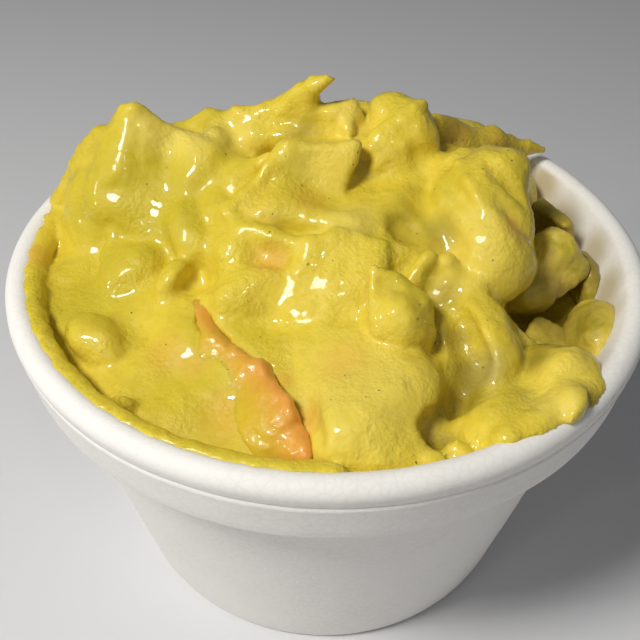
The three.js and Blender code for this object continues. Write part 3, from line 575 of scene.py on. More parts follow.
def cup_outline(seam):
    """Half section of the cup from the axis below, round the rim, to the axis inside."""
    ring_inside = FOOT_RADIUS - FOOT_RING_WIDTH
    seam_z = BEAD_HEIGHT - SEAM_DROP

    def lip(z):
        """Outer radius of the band at a height."""
        return LIP_FOOT_RADIUS + (RIM_RADIUS - LIP_FOOT_RADIUS) * (z - LIP_FOOT) / LIP_HEIGHT

    # The recess and the foot ring, eased where they meet.
    outline = [(0, FOOT_RECESS), (12, FOOT_RECESS), (ring_inside - RECESS_SLOPE - 0.3, FOOT_RECESS),
               (ring_inside - RECESS_SLOPE + 0.1, FOOT_RECESS - 0.12), (ring_inside - 0.2, 0.12),
               (ring_inside + 0.2, 0.0)]
    # The body.
    outline += arc(FOOT_RADIUS - FOOT_ROUND, FOOT_ROUND, FOOT_ROUND, -90, -12, 7)
    outline += [(FOOT_RADIUS + (BODY_RADIUS - FOOT_RADIUS) * z / LIP_FOOT, z)
                for z in np.linspace(FOOT_ROUND + 1.2, LIP_FOOT - 0.7, 14)]
    # The step out to the band.
    outline += [(BODY_RADIUS - 0.02, LIP_FOOT - 0.25), (BODY_RADIUS + 0.12, LIP_FOOT - 0.06),
                (BODY_RADIUS + 0.4, LIP_FOOT)]
    outline += [(r, LIP_FOOT) for r in np.linspace(BODY_RADIUS + 1.1, LIP_FOOT_RADIUS - 1.2, 3)]
    outline += arc(LIP_FOOT_RADIUS - LIP_ROUND - 0.05, LIP_FOOT + LIP_ROUND, LIP_ROUND, -90, 0, 5)
    # The band and the mould line in it.
    outline += [(lip(z), z) for z in np.linspace(LIP_FOOT + 1.2, seam_z - 0.9, 8)]
    outline += [(lip(seam_z) - depth, seam_z + z) for depth, z in (
        (0.02, -0.35), (seam * 0.8, -0.12), (seam, 0), (seam * 0.2, 0.2), (-0.06, 0.5))]
    # The rolled rim, the inside wall and the floor.
    outline += arc(RIM_RADIUS - RIM_BEAD_RADIUS, BEAD_HEIGHT, RIM_BEAD_RADIUS, -12, 150, 20)
    outline += inside_of_cup(np.linspace(MOUTH_HEIGHT - 1.1, LIP_FOOT + 0.4, 8))
    outline += inside_of_cup(np.linspace(LIP_FOOT - 0.4, FLOOR_CORNER, 10))
    outline += arc(outline[-1][0] - FLOOR_ROUND, FLOOR_CORNER, FLOOR_ROUND, -8, -90, 8)
    return outline + [(14, FLOOR_THICKNESS), (0, FLOOR_THICKNESS)]


class NodeMaker:
    """A Geometry Nodes tree with named inputs, to which nodes are added by one method."""

    def __init__(self, name, inputs):
        self.tree = bpy.data.node_groups.new(name, "GeometryNodeTree")
        interface = self.tree.interface
        interface.new_socket("Geometry", in_out="INPUT", socket_type="NodeSocketGeometry")
        self.identifiers = {}
        for title, kind, default in inputs:
            socket = interface.new_socket(title, in_out="INPUT", socket_type=kind)
            socket.default_value = default
            self.identifiers[title] = socket.identifier
        interface.new_socket("Geometry", in_out="OUTPUT", socket_type="NodeSocketGeometry")
        self.inputs = self.tree.nodes.new("NodeGroupInput").outputs

    def add(self, kind, settings=None, sockets=None):
        """Adds a node, with its settings and the values or links of its sockets."""
        node = self.tree.nodes.new(kind)
        for name, value in (settings or {}).items():
            setattr(node, name, value)
        for name, value in (sockets or {}).items():
            if isinstance(value, bpy.types.NodeSocket):
                self.tree.links.new(value, node.inputs[name])
            else:
                node.inputs[name].default_value = value
        return node.outputs

    def number(self, operation, *terms):
        """The result of a sum with numbers."""
        return self.add("ShaderNodeMath", {"operation": operation}, dict(enumerate(terms)))[0]

    def finish(self, geometry, finish):
        """Makes the geometry real, gives it its material and sends it out."""
        real = self.add("GeometryNodeRealizeInstances", None, {"Geometry": geometry})[0]
        sockets = {"Geometry": real, "Material": finish.material}
        done = self.add("GeometryNodeSetMaterial", None, sockets)[0]
        self.tree.links.new(done, self.tree.nodes.new("NodeGroupOutput").inputs[0])

    def applied_to(self, base, values):
        """The plain mesh that the tree makes of a base object, with the given inputs."""
        modifier = base.modifiers.new(self.tree.name, "NODES")
        modifier.node_group = self.tree
        for title, value in values.items():
            modifier[self.identifiers[title]] = value
        depsgraph = bpy.context.evaluated_depsgraph_get()
        mesh = bpy.data.meshes.new_from_object(base.evaluated_get(depsgraph))
        base.modifiers.remove(modifier)
        return mesh


def turning_tree(finish):
    """Turns an outline of points (radius, 0, height) once round the axis."""
    make = NodeMaker("Turned Profile", [("Segments", "NodeSocketInt", 192)])
    outline, segments = make.inputs["Geometry"], make.inputs["Segments"]
    count = make.add("GeometryNodeAttributeDomainSize", {"component": "MESH"}, {
        "Geometry": outline})["Point Count"]
    columns = make.number("ADD", segments, 1.0)
    grid = make.add("GeometryNodeMeshGrid", None, {"Vertices X": count, "Vertices Y": columns})["Mesh"]
    index = make.add("GeometryNodeInputIndex")[0]
    row = make.number("FLOOR", make.number("DIVIDE", make.number("ADD", index, 0.5), columns))
    column = make.number("SUBTRACT", index, make.number("MULTIPLY", row, columns))
    angle = make.number("MULTIPLY", make.number("DIVIDE", column, segments), math.tau)
    position = make.add("GeometryNodeInputPosition")[0]
    point = make.add("GeometryNodeSampleIndex", {"data_type": "FLOAT_VECTOR", "domain": "POINT"},
                     {"Geometry": outline, "Value": position, "Index": row})[0]
    split = make.add("ShaderNodeSeparateXYZ", None, {0: point})
    place = make.add("ShaderNodeCombineXYZ", None, {
        0: make.number("MULTIPLY", split[0], make.number("COSINE", angle)),
        1: make.number("MULTIPLY", split[0], make.number("SINE", angle)), 2: split[2]})[0]
    moved = make.add("GeometryNodeSetPosition", None, {"Geometry": grid, "Position": place})[0]
    closed = make.add("GeometryNodeMergeByDistance", None, {"Geometry": moved, "Distance": 1e-6})[0]
    make.finish(closed, finish)
    return make


PATCH_BLEND = 0.7                   # soft edge of a patch, as a share of its radius


def patched(finish, tone, paints, patches, within=1.0):
    """The tone with soft patches of other paints: (paint, centre, radius, share) each."""
    for paint_name, centre, radius, share in patches:
        patch = finish.near(centre, radius, radius * PATCH_BLEND) * share * within
        tone = finish.mix(tone, getattr(paints, paint_name), patch)
    return tone


# Where the cup's wall is smeared with guacamole and painted with the shadow of the blob and the side
# chunk: the paint, the centre, the radius and the paint's share.
WALL_SMEARS_AND_SHADOWS = (
    ("smear_and_shadow", (34.8, 22.0, 49.6), 3.0, 0.7),
    ("smear_and_shadow", (36.4, 15.0, 46.6), 4.2, 0.6),
    ("smear_and_shadow", (40.2, 5.6, 47.6), 3.2, 0.6),
    ("smear_and_shadow", (40.4, -3.4, 47.4), 3.2, 0.6),
    ("smear_and_shadow", (39.6, -9.6, 48.6), 2.6, 0.35),
)
# A ball that holds the upper part of the wall's inside and leaves its outside out.
HOLLOW_CENTRE = (0.0, 0.0, 56.0)
HOLLOW_RADIUS = 42.1
HOLLOW_SOFT = 0.3


def foam_finish(cup):
    """White foam of pressed beads, with guacamole smeared and shadow painted on the inside."""
    finish = Finish("Pressed Foam")
    bead = cup.bead_size / MM
    joints = finish.cells(bead, "DISTANCE_TO_EDGE")
    dimple = finish.cells(bead * 0.45)
    cloud = finish.noise(9.0, 3.0)
    seam = (1 - joints.ramp(0.0, 0.16)) * (0.35 + 0.65 * cloud)
    tone = finish.mix(cup.foam, cup.foam_shade, (seam * 0.35 + (cloud - 0.5) * 0.5).clamped())
    tone = patched(finish, tone, cup, WALL_SMEARS_AND_SHADOWS, finish.near(HOLLOW_CENTRE, HOLLOW_RADIUS, HOLLOW_SOFT))
    relief = finish.height((joints.ramp(0.0, 0.2), 0.15, 0.06), (dimple, 0.25, 0.05),
                           (finish.noise(0.3, 1.0), 0.22, 0.05))
    finish.set(Base_Color=tone, Roughness=0.5 + 0.2 * cloud, IOR=1.4, Subsurface_Weight=0.25,
               Subsurface_Radius=(1.0, 0.95, 0.9), Subsurface_Scale=0.0012, Specular_IOR_Level=0.35,
               Normal=relief)
    return finish


def volume(points, faces):
    """Signed volume; positive if the faces look outward."""
    total = 0.0
    for face in faces:
        a, b, c = (points[list(i)] for i in (face[:1] * (len(face) - 2), face[1:-1], face[2:]))
        total += float(np.einsum("ij,ij->", a, np.cross(b, c)))
    return total / 6


class GUAC_OT_foam_cup(bpy.types.Operator):
    """Make the foam cup, turned from its profile"""
    bl_idname = "guacamole.foam_cup"
    bl_label = "Foam Cup"

    def execute(self, context):
        cup = settings().cup
        finish = foam_finish(cup)
        outline = cup_outline(cup.seam_depth / MM)
        grow = cup.rim_radius / MM / RIM_RADIUS
        points = [(r * grow * MM, 0.0, z * MM) for r, z in outline]
        profile = bpy.data.meshes.new("cup_profile")
        profile.from_pydata(points, [(i, i + 1) for i in range(len(points) - 1)], [])
        base = linked("cup_profile", profile)
        mesh = turning_tree(finish).applied_to(base, {"Segments": cup.segments})
        bpy.data.objects.remove(base)
        places = np.array([v.co for v in mesh.vertices]) / MM
        faces = [list(p.vertices) for p in mesh.polygons]
        if volume(places, faces) < 0:
            faces = [f[::-1] for f in faces]
        piece = mesh_object("cup_shell", places, faces, finish)
        places = places_of(piece)
        broad, fine = lumps(places, 14.0, 3.1), lumps(places, 4.0, 5.2)
        swell(piece, 0.10 * broad + 0.05 * fine)
        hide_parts("foam_cup")
        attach(piece, "root")
        return {"FINISHED"}


# ---------------------------------------------------------------- tomato and avocado pieces
def tomato_strip(clay):
    """The strip of tomato that lies on the front slope."""
    clay.add(crest([
        (-17.3, -13.6, 51.7, 0.9), (-15.4, -17.8, 51.5, 1.4), (-13.4, -21.2, 51.0, 1.8),
    ]), 1)
    clay.add(block((-12.6, -23.6, 50.3), (4.6, 2.5, 1.7), (-54, 8, 32), 1.2), 1.6)
    clay.add(block((-8.2, -30.5, 49.4), (5.4, 3.5, 1.8), (-52, 4, 36), 1.2), 1.6)
    clay.add(lobe((-4.4, -34.8, 48.5), (3.4, 2.6, 1.7), (-60, 0, 24)), 1.6)


def chunk_upper(clay):
    """The chunk that leans on the blob, with its cut top facet."""
    clay.add(block((33.0, 1.3, 48.8), (4.8, 3.5, 3.9), (28, -26, -12), 2.3), 1)
    clay.add(lobe((29.6, -3.0, 46.6), (4.2, 3.6, 3.6)), 1.5)


def chunk_middle(clay):
    """The small chunk in the pit."""
    clay.add(block((32.0, -10.6, 41.6), (3.9, 3.0, 3.0), (-20, 12, 14), 1.0), 1)


def chunk_back(clay):
    """The thin slice behind."""
    clay.add(block((33.6, 10.6, 48.6), (1.0, 4.2, 3.8), (38, -14, 4), 0.5), 1)


def chunk_outer(clay):
    """The chunk against the wall."""
    clay.add(lobe((37.9, -11.8, 44.2), (4.0, 7.2, 5.2)), 1)


def chunk_side(clay):
    """The chunk in the shade beside the wall."""
    clay.add(lobe((39.2, 2.6, 44.6), (2.2, 5.0, 4.6)), 1)


# ---------------------------------------------------------------- guacamole
def low_ground(clay):
    """The level that fills the cup."""
    clay.add(lobe((-2, 0, 45.5), (38, 38, 7.8)), 3)
    clay.add(lobe((-35, -2, 46.0), (7, 13, 4.6)), 3)


def right_hollow(clay):
    """The hollow at the right, which holds the avocado chunks."""
    clay.cut(lobe((38, 4, 46), (10, 19, 9)), 2)
    clay.cut(lobe((31.6, -8.5, 46.0), (8.8, 8.0, 9.5)), 1.5)


def middle_mass(clay):
    """The middle of the heap, down to its front tongue."""
    clay.add(lobe((0, 10, 50), (18, 13, 12.6)), 4)
    clay.add(block((-3.0, -0.5, 55.3), (9.5, 7, 5.6), (-14, 0, -4), 3.0), 3)
    clay.add(lobe((-6.5, 0.5, 57.6), (6.5, 5, 5.0)), 2.5)
    clay.add(lobe((8, -2, 50), (13, 12, 10.6)), 4)
    clay.add(lobe((-8.5, -11, 49.5), (8.5, 8, 8.6), (20, 0, 0)), 3)
    clay.add(lobe((3, -21, 46.4), (10.5, 11, 8.2), (10, 0, 0)), 2.5)
    clay.add(lobe((5.5, -30, 47.0), (9.6, 11, 7.6), (12, 0, 8)), 3)
    clay.add(lobe((-9, -20, 45.5), (11, 12, 6.6), (30, 0, 0)), 3)


def left_face(clay):
    """The face swept up at the left and its crest."""
    clay.add(block((-26.4, 5.6, 55.2), (10.8, 10.2, 4.0), (-121, 49, 0), 3.9), 4)
    clay.add(crest([
        (-40, 12.5, 49, 3.4), (-37.4, 11.4, 54.4, 2.8), (-34.6, 10.4, 59.6, 2.4),
        (-32.4, 10.0, 62.8, 1.9),
    ]), 2.5)
    clay.add(crest([
        (-34.0, 9.8, 61.4, 1.7), (-31.8, 9.4, 63.4, 1.5), (-30.2, 9.2, 64.6, 1.3),
    ]), 1.6)
    clay.add(crest([
        (-29.0, 9.2, 66.2, 1.7), (-27.4, 9.2, 67.6, 1.4), (-25.6, 9.2, 66.0, 1.1),
        (-23.6, 9.1, 64.1, 1.0), (-21.4, 8.8, 63.3, 1.0), (-19.2, 8.2, 62.8, 1.0),
        (-17.4, 7.4, 62.5, 1.2),
    ]), 1.2)
    clay.add(crest([
        (-28.8, 9.4, 67.6, 1.1), (-27.0, 9.4, 67.9, 0.9), (-25.2, 9.4, 66.2, 0.8),
        (-23.2, 9.3, 64.5, 0.8), (-20.8, 8.9, 63.8, 0.8), (-18.4, 7.9, 63.2, 0.8),
    ]), 0.6)
    clay.add(block((-27.3, 7.2, 61.4), (3.4, 5.4, 3.2), (0, 0, 46), 2.6), 3.5)
    clay.add(block((-26.6, 5.4, 57.5), (7.6, 7.0, 3.4), (0, 0, 40), 3.0), 5)
    clay.add(block((-32.0, 5.4, 55.2), (5.5, 6.4, 3.4), (0, -24, 40), 3.0), 5)
    clay.add(block((-20.6, 4.6, 56.0), (5.6, 6.4, 3.4), (0, 14, 36), 3.0), 5)
    clay.cut(crest([
        (-24.8, 12.6, 66.0, 1.5), (-21.4, 12.0, 64.4, 1.4), (-18.8, 10.8, 64.2, 1.1),
    ]), 1.0)
    clay.add(crest([
        (-31.5, 10.6, 58.6, 2.4), (-28, 10.4, 61.0, 2.4), (-24, 10.6, 59.8, 2.6),
        (-19, 9.4, 59.0, 3.0),
    ]), 2)
    clay.add(lobe((-21, 8, 50), (14, 9, 10.0)), 5)
    clay.add(lobe((-33, 7, 49), (8, 9, 5)), 5)
    clay.add(lobe((-18.0, -2.6, 54.8), (4.4, 6.0, 4.2)), 3)


def rim_smear(clay):
    """The band wiped over the rim, with the step on its inner side."""
    clay.add(crest(ring(148, 272, 41.7, 50.1, 1.8), False), 1.5)
    clay.cut(crest(ring(192, 264, 37.9, 51.2, 1.9), False), 1.0)


def left_bumps(clay):
    """Lumps on the left slope."""
    clay.add(lobe((-29.6, -18.9, 49.8), (4.2, 4.2, 3.2), (40, 0, 0)), 1.6)
    clay.cut(lobe((-25.6, -17.4, 51.6), (2.0, 2.8, 1.7), (50, 0, 0)), 1.3)
    clay.add(lobe((-27.4, -6.6, 50.8), (5.2, 4.8, 4.0), (20, 0, 0)), 1.8)
    clay.add(crest([
        (-31.4, -4.0, 51.6, 1.0), (-29.8, -1.2, 53.6, 1.0), (-28.4, 0.4, 54.6, 0.9),
    ]), 1.2)
    clay.add(lobe((-20.6, -10.4, 52.9), (2.2, 3.8, 3.3), (-8, 0, 0)), 1.5)
    clay.cut(lobe((-17.0, -11.6, 54.6), (2.2, 2.6, 2.6)), 1.4)
    clay.add(lobe((-24.6, -30.5, 49.0), (2.0, 1.5, 1.6)), 0.8)
    clay.add(lobe((-18.6, -18.4, 49.8), (3.6, 5.4, 2.6), (24, 0, 0)), 2)


def middle_block(clay):
    """The block in the middle, the plateau below it and the crests at their left."""
    clay.add(block((-1.3, 5.3, 60.9), (5.2, 4.0, 4.2), (-2, 0, -34), 1.1), 1.2)
    clay.add(lobe((-5, 2.0, 58.8), (4, 3, 3.6)), 2)
    clay.add(crest([
        (-6.4, 4.4, 64.9, 1.4), (-7.8, 1.6, 63.1, 1.4), (-9.4, 0.0, 61.5, 1.4),
        (-11.0, -1.6, 60.8, 1.4), (-13.0, -3.4, 60.1, 1.3),
    ]), 1.8)
    clay.add(crest([(-12.8, 3.2, 60.9, 1.4), (-10.8, 4.2, 61.6, 1.3), (-8.6, 5.2, 62.9, 1.3)]), 1.5)
    clay.add(crest([
        (-13.6, -4.2, 59.6, 1.4), (-11, -6.2, 58.9, 1.5), (-7.6, -8.2, 58.7, 1.4),
        (-5.0, -9.2, 58.6, 1.3),
    ]), 1.6)
    clay.cut(crest([
        (-13.0, -8.6, 58.4, 1.2), (-9.2, -11.0, 58.0, 1.4), (-5.6, -12.2, 58.0, 1.2),
    ]), 1.6)
    clay.cut(crest([(4.8, 4.4, 65.0, 0.9), (5.6, 2.4, 62.8, 1.1), (7.2, 0.4, 61.9, 1.0)]), 1.0)
    clay.cut(lobe((0.6, -2.6, 63.9), (6.6, 4.0, 3.2), (0, 0, -8)), 1.5)


def hollow_mound(clay):
    """The mound that runs down beside the block, and the hollow at its right."""
    clay.add(lobe((-13.5, 5.5, 56.8), (4.6, 7.5, 6.4), (10, 0, 0)), 2)
    clay.add(lobe((-11.5, -5.5, 54.6), (5.0, 5.5, 4.8)), 3)
    clay.add(crest([
        (-16.6, 12.5, 62.3, 2.2), (-16.2, 9.0, 62.9, 2.0), (-16.0, 5.5, 61.2, 2.2),
        (-16.0, 1.8, 58.9, 2.2), (-14.8, -2.6, 57.4, 2.4), (-13.4, -7.0, 55.6, 2.6),
    ]), 1.6)
    clay.cut(lobe((-11.7, 8.4, 64.6), (2.5, 3.8, 3.0), (-6, 0, 0)), 1.1)


def back_ridge(clay):
    """The ridge that runs up to the hooked tip."""
    clay.add(crest([
        (-29.0, 13.0, 55.6, 2.8), (-25.4, 13.4, 60.0, 2.4), (-22.4, 13.6, 60.6, 2.2),
        (-19.3, 13.7, 61.3, 2.1), (-16.8, 13.8, 63.2, 2.0), (-14.4, 13.8, 63.2, 2.0),
        (-13.0, 13.4, 64.8, 1.9), (-9.6, 13.4, 64.9, 2.0), (-7.4, 13.4, 65.7, 2.0),
        (-5.8, 13.0, 67.2, 1.8), (-4.3, 12.6, 68.9, 1.6), (-2.5, 12.0, 70.7, 1.3),
        (-1.1, 11.8, 71.5, 0.9), (0.1, 11.8, 71.6, 0.45),
    ]), 1.6)
    clay.add(crest([
        (-20.5, 17, 56.0, 4.0), (-12, 16, 60.0, 3.6), (-5, 15.6, 61.5, 3.4),
        (1.5, 16.5, 63.6, 2.4), (9, 16, 61, 4.5),
    ]), 2.5)
    clay.add(crest([(-3.6, 12.0, 65.4, 2.2), (0.0, 12.6, 66.0, 2.0), (1.6, 12.8, 66.1, 1.9)]), 1.2)
    clay.add(crest([(-3.2, 12.2, 65.4, 1.9), (-3.0, 12.2, 69.4, 1.4)]), 1.2)
    clay.add(crest([(1.0, 13.0, 66.1, 1.8), (3.0, 13.0, 66.3, 1.7)]), 1.2)
    clay.add(crest([(3.3, 13.8, 68.2, 0.4), (3.1, 12.4, 66.8, 0.8), (2.2, 9.2, 65.3, 1.0)]), 1.2)
    clay.cut(crest([(5.3, 14.8, 68.7, 1.1), (5.3, 11.6, 67.6, 1.1), (4.8, 8.4, 67.0, 1.0)]), 1.0)
    clay.add(crest([(5.2, 12.4, 62.6, 2.4), (4.6, 9.0, 62.4, 2.4)]), 1.5)
    clay.add(crest([
        (-14.5, 11.0, 60.6, 2.4), (-10.0, 11.2, 62.2, 2.4), (-5.5, 11.3, 63.0, 2.2),
        (1.0, 11.6, 63.8, 1.8),
    ]), 2)
    clay.cut(crest([(-5.0, 9.2, 66.4, 1.2), (-1.6, 8.8, 66.6, 1.2), (0.8, 8.6, 66.9, 1.0)]), 1.2)


def dome(clay):
    """The dome with a curled crest."""
    clay.add(lobe((10.4, 12.4, 62.9), (5.0, 5.4, 6.1)), 1.3)
    clay.add(lobe((9.4, 8.6, 60.4), (4.6, 4.2, 4.8)), 1.6)
    clay.cut(crest([(12.0, 13.0, 69.4, 0.7), (10.2, 12.2, 69.0, 0.9), (7.6, 11.0, 68.2, 0.9)]), 1.2)
    clay.add(crest([
        (13.0, 13.0, 67.8, 0.9), (11.9, 11.2, 67.8, 0.9), (9.8, 9.7, 67.1, 0.9),
        (7.8, 8.7, 66.1, 0.9), (6.4, 8.0, 65.2, 0.9),
    ]), 1.0)
    clay.add(crest([(9.4, 9.0, 65.8, 1.2), (7.4, 7.8, 64.8, 1.3), (6.0, 6.9, 64.0, 1.2)]), 1.2)
    clay.add(crest([
        (12.2, 8.8, 64.8, 1.1), (9.8, 7.4, 64.2, 1.2), (7.8, 6.4, 63.2, 1.2),
        (6.6, 5.6, 62.2, 1.0),
    ]), 0.9)
    clay.add(crest([(12.6, 8.6, 59.4, 2.6), (15.6, 8.6, 59.8, 2.6), (18.6, 7.2, 61.4, 2.6)]), 2.2)
    clay.add(crest([
        (13.6, 13.0, 59.6, 2.2), (17.0, 13.2, 59.0, 2.2), (21.0, 13.0, 58.4, 2.4),
    ]), 2.2)


def tail(clay):
    """The tail that runs out to the right, and the mass under it."""
    clay.add(crest([
        (15.2, 16.6, 61.8, 2.6), (19.7, 18.6, 59.3, 2.3), (23.1, 19.8, 57.7, 2.1),
        (25.4, 20.8, 58.0, 2.0), (28.0, 22.0, 56.5, 1.7), (31.0, 23.2, 55.2, 1.2),
        (34.4, 24.5, 54.1, 0.5),
    ]), 1.3)
    clay.add(lobe((16, 21, 50), (17, 12, 8.8)), 4)
    clay.add(lobe((-10, 20, 49), (19, 14, 10)), 4)


def back_folds(clay):
    """Lobes and folds on the far side."""
    clay.add(lobe((-17, 29, 50.5), (9, 6.5, 4.6), (28, 0, 0)), 1.8)
    clay.add(lobe((3, 32.5, 51.0), (8.5, 6, 5.6), (-8, 0, 0)), 1.6)
    clay.add(lobe((20, 28, 51.5), (6.5, 6.5, 5.2), (-35, 0, 0)), 1.8)
    clay.add(crest([
        (-15, 22, 56.5, 2.2), (-8, 25.5, 57.6, 2.6), (0, 25, 58.2, 2.4), (7, 27, 56.6, 1.8),
    ]), 1.6)
    clay.cut(crest([(-5, 37, 53.5, 1.3), (-5.6, 31, 57.0, 1.6), (-3.2, 21, 63.0, 1.6)]), 2.5)
    clay.cut(crest([(12, 35, 53.0, 1.3), (12.4, 29, 57.5, 1.5), (12, 22, 61.0, 1.5)]), 2.0)
    clay.add(block((-27.5, 22.5, 50.0), (4.4, 3.2, 3.2), (35, 10, 12), 1.2), 1.4)
    clay.add(lobe((28.0, 17.0, 50.5), (4.0, 4.6, 4.0)), 1.6)


def right_blob(clay):
    """The big blob at the right, in two folds."""
    clay.add(lobe((13, 7, 55.0), (9, 9, 5.6)), 4)
    clay.add(lobe((21.2, 3.2, 59.1), (6.0, 6.0, 7.1), (14, 0, 0)), 1.6)
    clay.add(crest([(17.4, 5.6, 58.9, 3.6), (17.4, 1.8, 58.0, 4.4), (18.6, -2.6, 56.9, 5.0)]), 1.6)
    clay.add(lobe((21.4, -5.6, 55.2), (6.6, 7.2, 6.6), (14, 0, 10)), 0.9)
    clay.add(lobe((22.2, -1.0, 58.4), (5.4, 5.0, 6.0), (14, 0, 10)), 1.8)
    clay.add(crest([
        (17.5, 3.0, 64.0, 0.8), (18.7, -0.8, 63.6, 1.1), (20.2, -3.4, 62.3, 1.6),
        (22.0, -5.8, 60.6, 1.9), (23.0, -8.4, 58.9, 2.3),
    ]), 1.5)
    clay.cut(crest([
        (20.4, 1.4, 66.6, 0.9), (22.2, -0.8, 65.4, 1.1), (24.4, -1.6, 63.4, 1.1),
        (26.2, -2.2, 61.8, 0.8),
    ]), 1.5)


def blob_crease(clay):
    """The crease between the blob and the plateau, and the hollow at its foot."""
    clay.cut(crest([
        (12.4, 5.6, 63.6, 1.2), (12.8, 1, 61.6, 1.5), (13.4, -4, 60.2, 1.6),
        (15.8, -9.5, 58.3, 1.6),
    ]), 3)
    clay.cut(lobe((11.4, -6.6, 60.0), (3.6, 3.4, 2.6)), 1.6)


def front_blocks(clay):
    """The two blocks at the front of the plateau."""
    clay.add(block((-1.8, -12.9, 54.1), (3.9, 5.6, 3.6), (0, 4, 35), 1.4), 2.2)
    clay.add(block((3.8, -12.2, 55.2), (4.2, 5.8, 3.6), (4, -3, 37), 1.3), 2.2)


def peak(clay):
    """The pointed lump."""
    clay.add(lobe((9.4, -19.8, 54.6), (4.5, 4.6, 4.7)), 1.1)
    clay.add(crest([
        (5.7, -16.5, 60.4, 0.5), (8.6, -17.0, 59.0, 1.1), (12.2, -18.2, 56.4, 1.6),
    ]), 0.8)
    clay.add(crest([
        (5.8, -16.7, 60.1, 0.5), (6.0, -19.6, 57.8, 1.0), (6.6, -22.6, 55.6, 1.3),
    ]), 0.8)
    clay.add(crest([(7.2, -18.2, 58.0, 1.2), (9.6, -20.6, 56.6, 2.0)]), 1.2)
    clay.cut(crest([
        (7.2, -14.3, 60.6, 1.0), (10.0, -14.4, 59.8, 1.2), (12.8, -15.4, 58.4, 1.3),
        (15.0, -17.4, 56.4, 1.5),
    ]), 1.0)


def knobs(clay):
    """Small knobs beside the peak."""
    clay.add(crest([(11.8, -12.0, 55.2, 2.4), (12.8, -11.4, 58.0, 1.3)]), 1.6)
    clay.add(crest([(15.4, -12.6, 54.0, 2.4), (15.3, -10.8, 57.4, 1.4)]), 1.4)


def right_lobe(clay):
    """The long lobe at the right."""
    clay.add(lobe((20.0, -19.0, 48.9), (6.1, 8.2, 6.8), (-10, 0, 0)), 1.2)
    clay.add(crest([
        (16.2, -11.0, 54.6, 2.0), (18.4, -13.4, 53.4, 2.8), (20.2, -17.0, 51.4, 3.6),
    ]), 1.4)
    clay.add(lobe((20.2, -25, 45.6), (6.0, 6.0, 4.6)), 2)


def lobe_valleys(clay):
    """The valleys on both sides of the front lobe."""
    clay.cut(crest([
        (13.4, -13.4, 57.0, 1.0), (15.2, -16.0, 55.4, 1.4), (16.9, -19.0, 54.0, 2.1),
        (17.7, -22.6, 52.4, 2.5), (17.3, -26.6, 51.0, 2.6), (15.6, -30.5, 50.6, 2.3),
    ]), 2.6)
    clay.cut(crest([
        (-7.4, -16.5, 57.8, 1.6), (-6.4, -21, 55.2, 2.0), (-5.0, -26, 53.4, 2.2),
        (-2.8, -32, 52.4, 2.2), (-1.4, -37, 52.0, 2.0),
    ]), 1.6)


def pit(clay):
    """The pit between the blob, the right lobe and the wall."""
    clay.cut(lobe((33, -9.5, 46.5), (7.5, 8.5, 7.5)), 1.5)


def rim_lobe(clay):
    """The lobe that lies on the rim, with its drip and its apron."""
    clay.add(lobe((23.0, -30.4, 46.6), (8.6, 6, 4.8), (38, 0, 0)), 2.0)
    clay.add(crest([
        (28.8, -21.0, 47.2, 4.8), (30.0, -24.4, 48.0, 5.6), (27.6, -28.2, 46.8, 5.0),
    ]), 1.2)
    clay.add(crest([
        (17.4, -30.0, 45.4, 2.6), (19.8, -34.2, 47.6, 2.2), (21.0, -36.6, 48.8, 1.8),
    ]), 1.6)
    clay.add(lobe((26.6, -31.6, 49.4), (6.0, 3.2, 3.6), (42, 0, 0)), 2)
    clay.add(crest([
        (28.4, -28.6, 51.6, 1.6), (28.8, -31.0, 52.8, 1.5), (29.2, -33.2, 52.4, 1.4),
    ]), 0.8)
    clay.add(crest(ring(-60, -50, 41.9, 50.9, 1.8), False), 2.2)
    clay.add(crest(ring(-47, -40, 42.6, 50.6, 2.0), False), 2.0)


def nubs(clay):
    """The undercut beside the front lobe, with two nubs."""
    clay.cut(lobe((13.6, -33.5, 50.6), (3.4, 2.6, 3.2), (35, 0, 0)), 1.0)
    clay.cut(lobe((16.4, -28.2, 49.4), (2.0, 2.6, 3.4), (20, 0, 0)), 1.0)
    clay.add(lobe((12.8, -38.0, 48.9), (1.9, 1.4, 1.5)), 0.8)
    clay.add(lobe((15.8, -36.4, 48.4), (1.9, 1.5, 1.5)), 0.8)
    clay.add(lobe((-1.4, -40.2, 50.2), (1.7, 1.0, 1.1)), 0.7)


REGIONS = (
    low_ground, right_hollow, middle_mass, left_face, rim_smear, left_bumps, middle_block,
    hollow_mound, back_ridge, dome, tail, back_folds, right_blob, blob_crease, front_blocks,
    peak, knobs, right_lobe, lobe_valleys, pit, rim_lobe, nubs,
)


def foam_distance(x, y, z):
    """Distance to the cup's inside wall and rolled rim, below nought inside the foam."""
    r = np.hypot(x, y)
    wall = np.maximum(inner_radius(z) - r, z - BEAD_HEIGHT)
    rim = np.hypot(r - RIM_RADIUS + RIM_BEAD_RADIUS, z - BEAD_HEIGHT) - RIM_BEAD_RADIUS
    return np.minimum(wall, rim)


def fitted(clay):
    """Cuts the clay where it would be in the cup's foam, or past its wall."""
    clay.values = smooth_max(clay.values, -foam_distance(*clay.plain) - SINK, SINK_BLEND)


